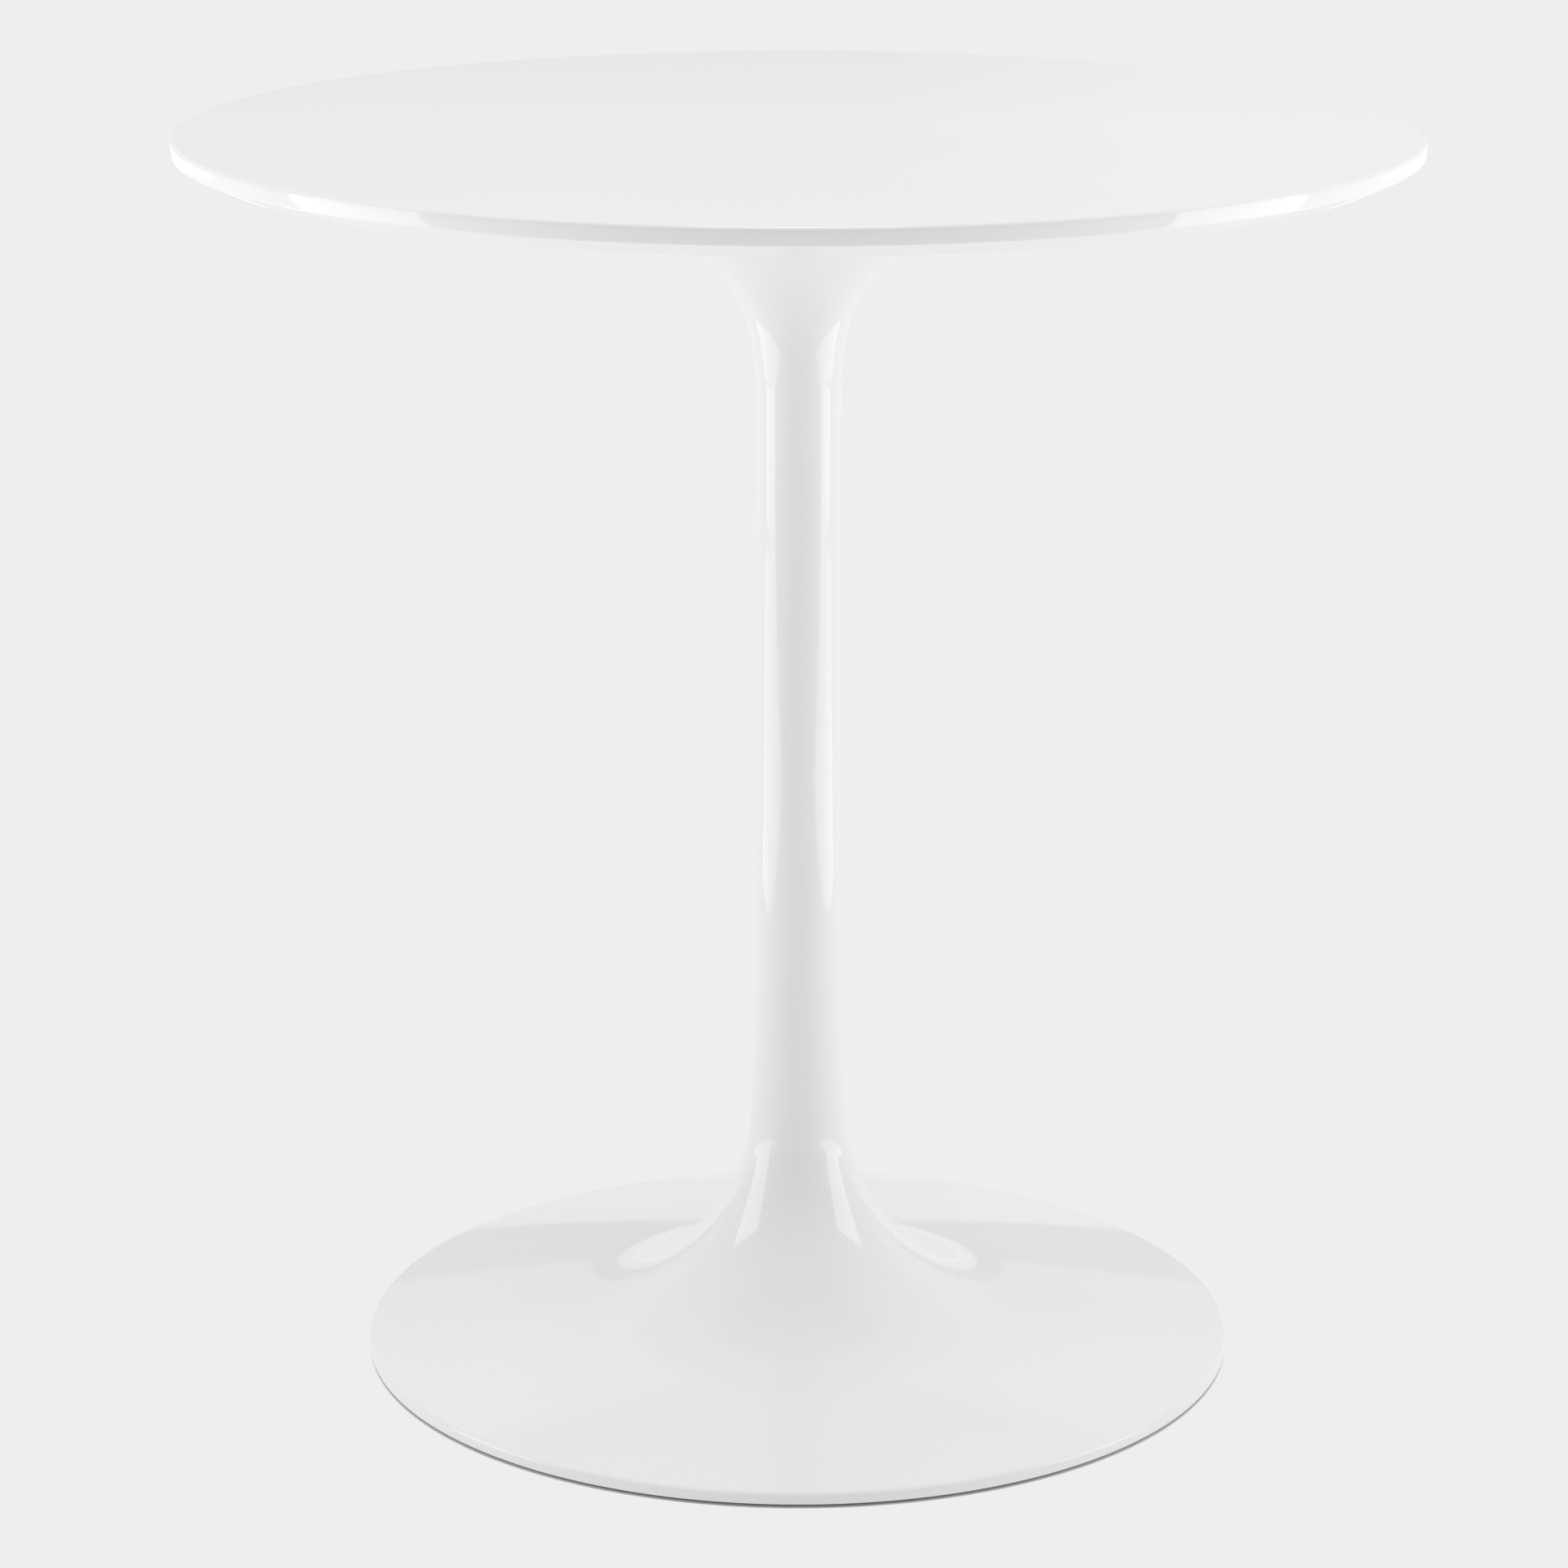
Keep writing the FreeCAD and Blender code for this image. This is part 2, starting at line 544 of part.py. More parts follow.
around(pedestal_shell,
       pocket(pedestal_shell, tapping, "Layout.glide_hole_top - Layout.glide_boss_bottom"),
       str(GLIDE_COUNT))

ring("lip_gasket", "Layout.lip_inside + Sizes.gasket_inset", "Layout.lip_radius - Sizes.gasket_inset",
     "Layout.lip_height", "Layout.top_underside")

# ----------------------------------------------- mounting plate and its hardware
mounting_plate = ring("mounting_plate", "Sizes.rod_diameter / 2 + Sizes.hole_fit", "Layout.plate_radius",
                      "Layout.plate_underside", "Layout.top_underside", "Sizes.edge_break")
bolt_hole = circle_sketch(mounting_plate, "plate_bolt_hole", "Layout.plate_underside",
                          "Sizes.bolt_diameter + 2 * Sizes.hole_fit", "Layout.bolt_circle")
around(mounting_plate, pocket(mounting_plate, bolt_hole, "Sizes.plate_thickness"), "Sizes.bolt_count")

offset_ring("threaded_inserts", "Sizes.bolt_diameter + 2 * Sizes.thread_fit", "Sizes.insert_diameter",
            "Layout.top_underside", "Sizes.insert_length")
offset_ring("bolt_flat_washers", "Sizes.bolt_diameter + 2 * Sizes.thread_fit",
            "Sizes.bolt_washer_diameter", "Layout.bolt_washer_bottom", "Sizes.bolt_washer_thickness")
offset_ring("bolt_spring_washers", "Sizes.bolt_diameter + 2 * Sizes.thread_fit",
            "Sizes.bolt_spring_diameter", "Layout.bolt_head_top", "Sizes.bolt_spring_thickness")

plate_bolts = new_body("plate_bolts")
bolt_head = pad(plate_bolts, hexagon_sketch(plate_bolts, "bolt_head",
                "Layout.bolt_head_top - Sizes.bolt_head_height", "Sizes.bolt_head_flats",
                "Layout.bolt_circle"), "Sizes.bolt_head_height")
bolt_shank = pad(plate_bolts, circle_sketch(plate_bolts, "bolt_shank", "Layout.bolt_head_top",
                 "Sizes.bolt_diameter", "Layout.bolt_circle"), "Sizes.bolt_length")
both = around(plate_bolts, bolt_shank, "Sizes.bolt_count")
both.Originals = [bolt_head, bolt_shank]
doc.recompute()

# --------------------------------------------------------- the rod and its nuts
tie_rod = new_body("tie_rod")
THREAD = "Sizes.rod_diameter / 2"
SHANK = "Sizes.rod_shank_diameter / 2"
revolve(tie_rod, profile(tie_rod, "rod_section", [
    ("0", "Layout.rod_bottom"),
    (f"{THREAD} - Sizes.edge_break", "Layout.rod_bottom"),
    (THREAD, "Layout.rod_bottom + Sizes.edge_break"),
    (THREAD, "Layout.rod_bottom + Sizes.rod_thread_length"),
    (SHANK, "Layout.rod_bottom + Sizes.rod_thread_length + Sizes.edge_break"),
    (SHANK, "Layout.rod_top - Sizes.rod_thread_length - Sizes.edge_break"),
    (THREAD, "Layout.rod_top - Sizes.rod_thread_length"),
    (THREAD, "Layout.rod_top - Sizes.edge_break"),
    (f"{THREAD} - Sizes.edge_break", "Layout.rod_top"),
    ("0", "Layout.rod_top"),
]))
hexagon_nut("coupling_nut", "Sizes.coupling_flats", "Sizes.rod_diameter",
            "Layout.coupling_bottom", "Sizes.coupling_length")
hexagon_nut("jam_nut", "Sizes.coupling_flats", "Sizes.rod_diameter",
            "Layout.jam_nut_bottom", "Sizes.jam_nut_height")
hexagon_nut("rod_nut", "Sizes.coupling_flats", "Sizes.rod_diameter",
            "Layout.rod_nut_bottom", "Sizes.rod_nut_height")
ring("rod_spring_washer", "Sizes.rod_diameter / 2 + Sizes.hole_fit", "Sizes.rod_spring_diameter / 2",
     "Layout.rod_nut_top", "Layout.rod_spring_top")
ring("rod_flat_washer", "Sizes.rod_diameter / 2 + Sizes.hole_fit", "Sizes.rod_washer_diameter / 2",
     "Layout.rod_spring_top", "Layout.recess_top")

# ------------------------------------------------------------------ the ballast
ballast_disc = new_body("ballast_disc")
revolve(ballast_disc, profile(ballast_disc, "ballast_section", [
    ("Sizes.recess_diameter / 2", "Layout.ballast_bottom"),
    ("Layout.ballast_radius", "Layout.ballast_bottom"),
    ("Layout.ballast_radius", "Layout.ballast_top"),
    ("Sizes.ballast_hub_diameter / 2", "Layout.ballast_top"),
    ("Sizes.ballast_hub_diameter / 2", "Layout.ballast_hub_top"),
    ("Sizes.rod_diameter / 2 + Sizes.hole_fit", "Layout.ballast_hub_top"),
    ("Sizes.rod_diameter / 2 + Sizes.hole_fit", "Layout.recess_top"),
    ("Sizes.recess_diameter / 2", "Layout.recess_top"),
]))
fillet(ballast_disc, [
    ("Layout.ballast_radius", "Layout.ballast_bottom"),
    ("Layout.ballast_radius", "Layout.ballast_top"),
    ("Sizes.ballast_hub_diameter / 2", "Layout.ballast_top"),
    ("Sizes.ballast_hub_diameter / 2", "Layout.ballast_hub_top"),
], "Sizes.ballast_round")


# ------------------------------------------------------------------- the glides
def stand_at_glide(body, number):
    """Moves a body built on the axis out to its place under the foot."""
    angle = GLIDE_FIRST_ANGLE + 360 / GLIDE_COUNT * (number - 1)
    body.setExpression("Placement.Base.x", f"Layout.glide_circle * cos({angle})")
    body.setExpression("Placement.Base.y", f"Layout.glide_circle * sin({angle})")


def glide_pad(number):
    """Nylon foot that snaps round the disc on the end of the screw."""
    body = new_body(f"glide_pad_{number}")
    rim = "Sizes.pad_diameter / 2"
    neck = "Sizes.stud_diameter / 2 + Sizes.turn_fit"
    pocket_radius = "Sizes.stud_foot_diameter / 2 + Sizes.turn_fit"
    pocket_top = "Layout.stud_foot_top + Sizes.turn_fit"
    revolve(body, profile(body, f"pad_section_{number}", [
        ("Sizes.pad_key_hole / 2", "0"),
        (f"{rim} - Sizes.pad_edge", "0"),
        (rim, "Sizes.pad_edge"),
        (rim, "Sizes.pad_thickness - Sizes.pad_edge"),
        (f"{rim} - Sizes.pad_edge", "Sizes.pad_thickness"),
        (neck, "Sizes.pad_thickness"),
        (neck, pocket_top),
        (pocket_radius, pocket_top),
        (pocket_radius, "Sizes.pad_floor"),
        ("Sizes.pad_key_hole / 2", "Sizes.pad_floor"),
    ]))
    stand_at_glide(body, number)


def glide_stud(number):
    """Steel screw with a disc on its lower end and a hexagon socket for a key."""
    body = new_body(f"glide_stud_{number}")
    thread = "Sizes.stud_diameter / 2"
    foot = "Sizes.stud_foot_diameter / 2"
    revolve(body, profile(body, f"stud_section_{number}", [
        ("0", "Sizes.pad_floor"),
        (foot, "Sizes.pad_floor"),
        (foot, "Layout.stud_foot_top"),
        (thread, "Layout.stud_foot_top"),
        (thread, "Layout.stud_top - Sizes.edge_break"),
        (f"{thread} - Sizes.edge_break", "Layout.stud_top"),
        ("0", "Layout.stud_top"),
    ]))
    pocket(body, hexagon_sketch(body, f"stud_key_{number}", "Sizes.pad_floor", "Sizes.stud_key_flats"),
           "Sizes.stud_key_depth")
    stand_at_glide(body, number)


for glide in range(1, GLIDE_COUNT + 1):
    glide_pad(glide)
    glide_stud(glide)

# -------------------------------------------------------------- check and export
doc.recompute()
for item in doc.Objects:
    if "Invalid" in item.State or "Error" in item.State:
        raise RuntimeError(f"{item.Name} did not recompute: {item.State}")
pieces = [item for item in doc.Objects if item.TypeId == "PartDesign::Body"]
for piece in pieces:
    if piece.Shape.isNull() or not piece.Shape.isValid():
        raise RuntimeError(f"{piece.Label} has no valid shape")

os.makedirs("parts", exist_ok=True)
for piece in pieces:
    piece.Shape.exportStep(f"parts/{piece.Label}.step")
    print(f"{piece.Label}: {len(piece.Shape.Solids)} solids, {piece.Shape.Volume / 1000:.1f} cm3")
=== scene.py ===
# %% [markdown]
# # A gloss-white pedestal table
#
# The table is one round lacquered board on one trumpet-shaped casting. Out of sight,
# a steel plate, a long rod and an iron ballast disc clamp the two together, and four
# small glides lift the foot just clear of the floor.
#
# Nearly everything on it was turned or has a round section, so most of this lesson is
# about drawing half a section and turning it round the axis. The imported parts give
# the places. They are coarse triangle meshes, and a coarse mesh breaks up the
# reflections of a gloss finish, so each visible part is made again here with a fine,
# smooth surface that fills the same space.

# %% Load the frame
import bmesh
import bpy
import math
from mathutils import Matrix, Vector


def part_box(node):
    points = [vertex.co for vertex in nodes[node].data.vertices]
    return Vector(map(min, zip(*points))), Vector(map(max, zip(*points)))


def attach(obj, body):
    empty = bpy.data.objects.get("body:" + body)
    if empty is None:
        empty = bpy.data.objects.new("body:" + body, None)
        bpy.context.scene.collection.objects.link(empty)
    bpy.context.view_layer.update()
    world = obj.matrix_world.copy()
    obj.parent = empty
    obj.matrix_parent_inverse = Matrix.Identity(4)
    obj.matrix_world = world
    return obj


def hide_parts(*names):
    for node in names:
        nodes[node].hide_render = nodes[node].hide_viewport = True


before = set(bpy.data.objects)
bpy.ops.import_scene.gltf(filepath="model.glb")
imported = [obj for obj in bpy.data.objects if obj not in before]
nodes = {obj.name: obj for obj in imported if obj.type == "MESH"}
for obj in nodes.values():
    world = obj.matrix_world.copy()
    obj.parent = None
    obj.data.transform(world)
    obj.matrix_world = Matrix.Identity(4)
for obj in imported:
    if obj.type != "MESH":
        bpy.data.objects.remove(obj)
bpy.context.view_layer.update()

MM = 0.001

# %% [markdown]
# ## Places
#
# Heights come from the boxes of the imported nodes. A radius is the longest reach of a
# node's points from the axis, because a turned part's box can miss its widest point
# by a little, wherever the mesh happens to have its corners.

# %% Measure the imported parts


def bottom(node):
    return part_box(node)[0][2]


def top(node):
    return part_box(node)[1][2]


def reach(node):
    """Longest distance of a node's points from the table's axis."""
    return max(vertex.co.xy.length for vertex in nodes[node].data.vertices)


def bore(node):
    """Shortest distance of a node's points from the table's axis."""
    return min(vertex.co.xy.length for vertex in nodes[node].data.vertices)


BOARD_RADIUS = reach("table_top")
FOOT_RADIUS = reach("pedestal_shell")
GLIDE_COUNT = 4
low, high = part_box("glide_pad_1")
GLIDE_CIRCLE = ((Vector(low) + Vector(high)) / 2).xy.length
PAD_RADIUS = (high[0] - low[0]) / 2
print(f"board {2 * BOARD_RADIUS:.4f} m across, top at {top('table_top'):.4f} m")
print(f"foot {2 * FOOT_RADIUS:.4f} m across, rim {bottom('pedestal_shell'):.4f} m off the floor")
print(f"glides {GLIDE_CIRCLE:.4f} m from the axis")

# %% [markdown]
# ## Half sections
#
# A section is a list of (radius, height) points. Corners on real parts are never
# sharp, so each corner may carry a round, and the helper puts a tangent arc there. A
# Bezier curve could hold these shapes too, but true arcs are what a pattern maker
# draws, and they keep the reflections running evenly.

# %% Rounded corners and bends


def rounded(corners, steps=6):
    """Points of a half section; a corner is (radius, height) or (radius, height, round)."""
    points = []
    for index, corner in enumerate(corners):
        here = Vector(corner[:2])
        if len(corner) < 3:
            points.append(here)
            continue
        before = (Vector(corners[index - 1][:2]) - here).normalized()
        after = (Vector(corners[(index + 1) % len(corners)][:2]) - here).normalized()
        half = before.angle(after) / 2
        centre = here + (before + after).normalized() * (corner[2] / math.sin(half))
        start = here + before * (corner[2] / math.tan(half)) - centre
        end = here + after * (corner[2] / math.tan(half)) - centre
        first = math.atan2(start.y, start.x)
        sweep = (math.atan2(end.y, end.x) - first + math.pi) % (2 * math.pi) - math.pi
        for step in range(steps + 1):
            angle = first + sweep * step / steps
            points.append(centre + corner[2] * Vector((math.cos(angle), math.sin(angle))))
    return [tuple(point) for point in points]


def bend(centre, radius, lean_from, lean_to, side, steps):
    """Points on a bend of the casting between two leans from upright, in degrees.

    The bend's centre is outside the casting. Side is -1 where the surface is below
    the centre, as in the foot, and +1 where it is above, as in the head.
    """
    points = []
    for step in range(steps + 1):
        lean = math.radians(lean_from + (lean_to - lean_from) * step / steps)
        across, along = radius * math.cos(lean), radius * math.sin(lean)
        points.append((centre[0] - across, centre[1] + side * along))
    return points


# %% [markdown]
# ## A lathe made of nodes
#
# Blender can turn a section with its Screw modifier or the Spin tool. A small node
# tree does the same job and a little more: it lays out a grid with one column for
# each step round the axis and one row for each point of the section, and then moves
# every grid point to its place by rule. One extra rule cuts flats: a point that
# carries a width across flats may not reach past a hexagon of that size, so the same
# lathe also makes nuts, bolt heads and key sockets with their true curved chamfers.

# %% Helpers for node trees
WELD = 2e-6
CRISP_ANGLE = math.radians(32)


def new_tree(name, inputs, outputs=None):
    """A node group with (name, kind, value) inputs.

    With no outputs named it is a geometry tree, with a geometry in and out; with them
    it is a shader group.
    """
    tree = bpy.data.node_groups.new(name, "ShaderNodeTree" if outputs else "GeometryNodeTree")
    through = [] if outputs else [("Geometry", "Geometry", None)]
    ways = [("OUTPUT", item) for item in outputs or through]
    ways += [("INPUT", item) for item in through + inputs]
    for way, (label, kind, value) in ways:
        made = tree.interface.new_socket(label, in_out=way, socket_type=f"NodeSocket{kind}")
        if value is not None:
            made.default_value = value
    return tree


class Bench:
    """Short ways to add and join the nodes of one tree."""

    def __init__(self, tree, grouped=True):
        self.tree = tree
        if grouped:
            self.given = tree.nodes.new("NodeGroupInput").outputs
            self.result = tree.nodes.new("NodeGroupOutput").inputs

    def put(self, socket, source):
        """Joins a source socket, or sets a plain value."""
        if isinstance(source, bpy.types.NodeSocket):
            self.tree.links.new(source, socket)
        else:
            socket.default_value = source

    def add(self, kind, settings=None, **sources):
        """Adds a node; the sources are named as its inputs, with _ for a space."""
        node = self.tree.nodes.new(kind)
        for setting, choice in (settings or {}).items():
            setattr(node, setting, choice)
        for label, source in sources.items():
            self.put(node.inputs[label.replace("_", " ")], source)
        return node

    def sum(self, operation, *sources, kind="ShaderNodeMath"):
        """A maths node; the sources are its operands in order."""
        node = self.tree.nodes.new(kind)
        node.operation = operation
        for socket, source in zip(node.inputs, sources):
            self.put(socket, source)
        return node.outputs[0]

    def whole(self, operation, *sources):
        return self.sum(operation, *sources, kind="FunctionNodeIntegerMath")

    def grid(self, columns, rows):
        """A grid with its own column and row numbers as outputs."""
        laid = self.add("GeometryNodeMeshGrid", Vertices_X=columns, Vertices_Y=rows)
        index = self.add("GeometryNodeInputIndex").outputs[0]
        column = self.whole("DIVIDE_FLOOR", index, rows)
        row = self.whole("FLOORED_MODULO", index, rows)
        return laid.outputs["Mesh"], column, row

    def polar(self, radius, angle, height):
        x = self.sum("MULTIPLY", radius, self.sum("COSINE", angle))
        y = self.sum("MULTIPLY", radius, self.sum("SINE", angle))
        return self.add("ShaderNodeCombineXYZ", X=x, Y=y, Z=height).outputs[0]

    def close(self, mesh, places, finish):
        """Moves the grid's points, joins the seam and the poles, and sets the finish."""
        moved = self.add("GeometryNodeSetPosition", Geometry=mesh, Position=places).outputs[0]
        welded = self.add("GeometryNodeMergeByDistance", Geometry=moved, Distance=WELD).outputs[0]
        real = self.add("GeometryNodeRealizeInstances", Geometry=welded).outputs[0]
        done = self.add("GeometryNodeSetMaterial", Geometry=real, Material=finish).outputs[0]
        self.put(self.result[0], done)


# %% Build the lathe
lathe = new_tree("lathe", [("Steps", "Int", 96), ("Closed", "Int", 1),
                           ("Finish", "Material", None)])
bench = Bench(lathe)
section = bench.given["Geometry"]
count = bench.add("GeometryNodeAttributeDomainSize", Geometry=section).outputs["Point Count"]
rows = bench.whole("ADD", count, bench.given["Closed"])
mesh, column, row = bench.grid(bench.whole("ADD", bench.given["Steps"], 1), rows)
corner = bench.whole("FLOORED_MODULO", row, count)


def from_section(data_type, value):
    """What a point of the section carries, brought to its row of the grid."""
    sample = bench.add("GeometryNodeSampleIndex", {"data_type": data_type},
                       Geometry=section, Index=corner)
    bench.put(sample.inputs["Value"], value)
    return sample.outputs[0]


place = from_section("FLOAT_VECTOR", bench.add("GeometryNodeInputPosition").outputs[0])
point = bench.add("ShaderNodeSeparateXYZ", Vector=place).outputs
flats = from_section("FLOAT", bench.add("GeometryNodeInputNamedAttribute", Name="flats").outputs[0])
angle = bench.sum("MULTIPLY", column, bench.sum("DIVIDE", math.tau, bench.given["Steps"]))
fold = bench.sum("SUBTRACT", bench.sum("FLOORED_MODULO", angle, math.tau / 6), math.tau / 12)
side = bench.sum("DIVIDE", bench.sum("MULTIPLY", flats, 0.5), bench.sum("COSINE", fold))
uncut = bench.sum("LESS_THAN", flats, 1e-9)
radius = bench.sum("MINIMUM", point["X"], bench.sum("ADD", side, uncut))
bench.close(mesh, bench.polar(radius, angle, point["Y"]), bench.given["Finish"])
print("lathe:", len(lathe.nodes), "nodes")

# %% [markdown]
# ## From a tree to a plain piece
#
# A modifier is only a recipe, and an export wants a plain mesh. So each piece is made
# by putting its section in an object, giving that object the tree and its sizes, and
# taking the finished mesh out again. Normals are then turned outwards, and edges that
# bend by more than a set angle stay crisp while all the others shade smoothly.

# %% Run a tree and keep its mesh


def link(name, data):
    """A new object in the scene with the given mesh, light or camera."""
    made = bpy.data.objects.new(name, data)
    bpy.context.scene.collection.objects.link(made)
    return made


def identifier(tree, label):
    return next(item.identifier for item in tree.interface.items_tree
                if item.name == label and item.in_out == "INPUT")


def settle(piece):
    """Joins doubles, turns the faces outwards and sets which edges are crisp."""
    work = bmesh.new()
    work.from_mesh(piece.data)
    bmesh.ops.remove_doubles(work, verts=work.verts, dist=WELD)
    bmesh.ops.dissolve_degenerate(work, edges=work.edges, dist=1e-6)
    bmesh.ops.recalc_face_normals(work, faces=work.faces)
    work.to_mesh(piece.data)
    work.free()
    piece.data.shade_smooth()
    piece.data.set_sharp_from_angle(angle=CRISP_ANGLE)
    return piece


def drop_empty_slots(mesh):
    """Removes material slots that hold nothing and moves the faces' indices along."""
    finishes = [finish for finish in mesh.materials if finish]
    places = [finishes.index(finish) if finish else 0 for finish in mesh.materials]
    indices = [places[face.material_index] for face in mesh.polygons]
    mesh.materials.clear()
    for finish in finishes:
        mesh.materials.append(finish)
    mesh.polygons.foreach_set("material_index", indices)


def bake(piece):
    """Makes what the piece's modifiers show its plain mesh."""
    depsgraph = bpy.context.evaluated_depsgraph_get()
    shown = piece.evaluated_get(depsgraph)
    piece.data = bpy.data.meshes.new_from_object(shown, depsgraph=depsgraph)
    piece.modifiers.clear()


def run(name, tree, source, **sizes):
    """A plain object with what the tree makes of the source mesh."""
    piece = link(name, source)
    recipe = piece.modifiers.new(tree.name, "NODES")
    recipe.node_group = tree
    for label, size in sizes.items():
        recipe[identifier(tree, label.replace("_", " "))] = size
    bake(piece)
    drop_empty_slots(piece.data)
    piece.data.name = name
    return piece


def turned(name, points, finish, steps=96, closed=True):
    """Turns a half section of (radius, height) or (radius, height, across flats)."""
    source = bpy.data.meshes.new(name)
    source.from_pydata([(point[0], point[1], 0) for point in points], [], [])
    flats = source.attributes.new("flats", "FLOAT", "POINT")
    for index, point in enumerate(points):
        flats.data[index].value = point[2] if len(point) > 2 else 0.0
    made = run(name, lathe, source, Steps=steps, Closed=int(closed), Finish=finish)
    return settle(made)


def joined(name, pieces):
    """One piece from several, with their common rims joined."""
    work = bmesh.new()
    finish = pieces[0].data.materials[0]
    for piece in pieces:
        work.from_mesh(piece.data)
        bpy.data.objects.remove(piece)
    mesh = bpy.data.meshes.new(name)
    work.to_mesh(mesh)
    work.free()
    mesh.materials.append(finish)
    return settle(link(name, mesh))


def cut(piece, cutter, operation="DIFFERENCE"):
    """Takes the cutter out of a piece, or adds it with UNION."""
    tool = piece.modifiers.new("cut", "BOOLEAN")
    tool.operation = operation
    tool.solver = "EXACT"
    tool.material_mode = "TRANSFER"
    tool.object = cutter
    bake(piece)
    bpy.data.objects.remove(cutter)
    return settle(piece)


def deliver(piece, body, slot, *stands_for):
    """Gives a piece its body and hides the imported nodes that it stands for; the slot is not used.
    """
    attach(piece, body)
    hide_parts(*stands_for)
    print(f"{piece.name}: {len(piece.data.polygons)} faces, for {', '.join(stands_for)}")


# %% [markdown]
# ## Copies on a circle
#
# Bolts, washers, inserts and glide holes all stand evenly on a circle. An Array
# modifier with an empty would do, but a tree with a count and a radius says plainly
# what repeats, and each kind of hardware only has to be made once.

# %% Build the circle of copies
circle_of = new_tree("circle_of_copies", [
    ("Count", "Int", 6), ("Radius", "Float", 0.1), ("First Angle", "Float", 0.0),
    ("Finish", "Material", None),
])
bench = Bench(circle_of)
index = bench.add("GeometryNodeInputIndex").outputs[0]
share = bench.sum("DIVIDE", math.tau, bench.given["Count"])
angle = bench.sum("ADD", bench.sum("MULTIPLY", index, share), bench.given["First Angle"])
seats = bench.add("GeometryNodePoints", Count=bench.given["Count"],
                  Position=bench.polar(bench.given["Radius"], angle, 0.0)).outputs[0]
turn = bench.add("ShaderNodeCombineXYZ", Z=angle).outputs[0]
facing = bench.add("FunctionNodeEulerToRotation", Euler=turn).outputs[0]
copies = bench.add("GeometryNodeInstanceOnPoints", Points=seats, Instance=bench.given["Geometry"],
                   Rotation=facing).outputs[0]
real = bench.add("GeometryNodeRealizeInstances", Geometry=copies).outputs[0]
bench.put(bench.result[0], bench.add("GeometryNodeSetMaterial", Geometry=real,
                                     Material=bench.given["Finish"]).outputs[0])


def on_circle(name, piece, count, radius, finish, first_angle=0.0):
    """Several copies of a piece as one mesh; the first one is used up."""
    source = piece.data
    bpy.data.objects.remove(piece)
    made = run(name, circle_of, source, Count=count, Radius=radius,
               First_Angle=first_angle, Finish=finish)
    return settle(made)


print("circle of copies:", len(circle_of.nodes), "nodes")

# %% [markdown]
# ## Screw threads
#
# A thread is a ridge that climbs by one pitch each turn. Modelling it as a spiral that
# cuts a rod is slow and leaves ragged ends. Here the rows of a grid climb with the
# angle instead: row four at the end of one turn lands exactly on row zero of the next,
# so the seam closes by itself, and the crest fades into the root near both ends as the
# run-out of a rolled thread does.

# %% Build the thread
thread_tree = new_tree("thread", [("Radius", "Float", 0.006), ("Pitch", "Float", 0.00175),
                                  ("Bottom", "Float", 0.0), ("Top", "Float", 0.06),
                                  ("Steps", "Int", 32), ("Finish", "Material", None)])
THREAD_DEPTH = 0.54
RUN_OUT = 0.8
bench = Bench(thread_tree)
pitch, low, high = (bench.given[label] for label in ("Pitch", "Bottom", "Top"))
turns = bench.sum("CEIL", bench.sum("DIVIDE", bench.sum("SUBTRACT", high, low), pitch))
rows = bench.whole("ADD", bench.sum("MULTIPLY", bench.sum("ADD", turns, 1.0), 4.0), 1)
mesh, column, row = bench.grid(bench.whole("ADD", bench.given["Steps"], 1), rows)
share = bench.sum("DIVIDE", column, bench.given["Steps"])
climb = bench.sum("ADD", bench.sum("SUBTRACT", bench.sum("MULTIPLY", row, 0.25), 1.0), share)
free_height = bench.sum("ADD", low, bench.sum("MULTIPLY", climb, pitch))
height = bench.sum("MINIMUM", bench.sum("MAXIMUM", free_height, low), high)
end_gap = bench.sum("MINIMUM", bench.sum("SUBTRACT", height, low),
                    bench.sum("SUBTRACT", high, height))
fading = bench.sum("DIVIDE", end_gap, bench.sum("MULTIPLY", pitch, RUN_OUT))
run_out = bench.sum("MINIMUM", fading, 1.0)
crest = bench.sum("LESS_THAN", bench.whole("FLOORED_MODULO", row, 4), 1.5)
depth = bench.sum("MULTIPLY", pitch, THREAD_DEPTH)
ridge = bench.sum("MULTIPLY", crest, run_out)
sunk = bench.sum("MULTIPLY", depth, bench.sum("SUBTRACT", 1.0, ridge))
radius = bench.sum("SUBTRACT", bench.given["Radius"], sunk)
places = bench.polar(radius, bench.sum("MULTIPLY", share, math.tau), height)
bench.close(mesh, places, bench.given["Finish"])
SMALL_STEPS = 48


def thread(radius, pitch, low, high, finish):
    """An open tube of thread, ready to be joined to a shank of its root radius."""
    empty = bpy.data.meshes.new("thread")
    return run("thread", thread_tree, empty, Radius=radius, Pitch=pitch, Bottom=low, Top=high,
               Steps=SMALL_STEPS, Finish=finish)


def root_of(radius, pitch):
    return radius - THREAD_DEPTH * pitch


print("thread:", len(thread_tree.nodes), "nodes")

# %% [markdown]
# ## Gloss lacquer
#
# Two-pack lacquer sprayed on board or on a casting is almost a mirror, but never quite.
# It keeps a faint orange peel of a few millimetres, it follows the slow waves of what
# is under it, and its gloss drifts a little where more or less paint landed. Both
# lacquered pieces need this, with other numbers, so it is one group. It puts out a
# height in metres for a Bump node, a roughness, and a tint mask.

# %% Build the lacquer group


def drift(bench, size, detail):
    """Noise of a feature size in metres, on the object's own coordinates."""
    place = bench.add("ShaderNodeTexCoord").outputs["Object"]
    scale = bench.sum("DIVIDE", 1.0, size)
    return bench.add("ShaderNodeTexNoise", Vector=place, Scale=scale, Detail=detail).outputs[0]


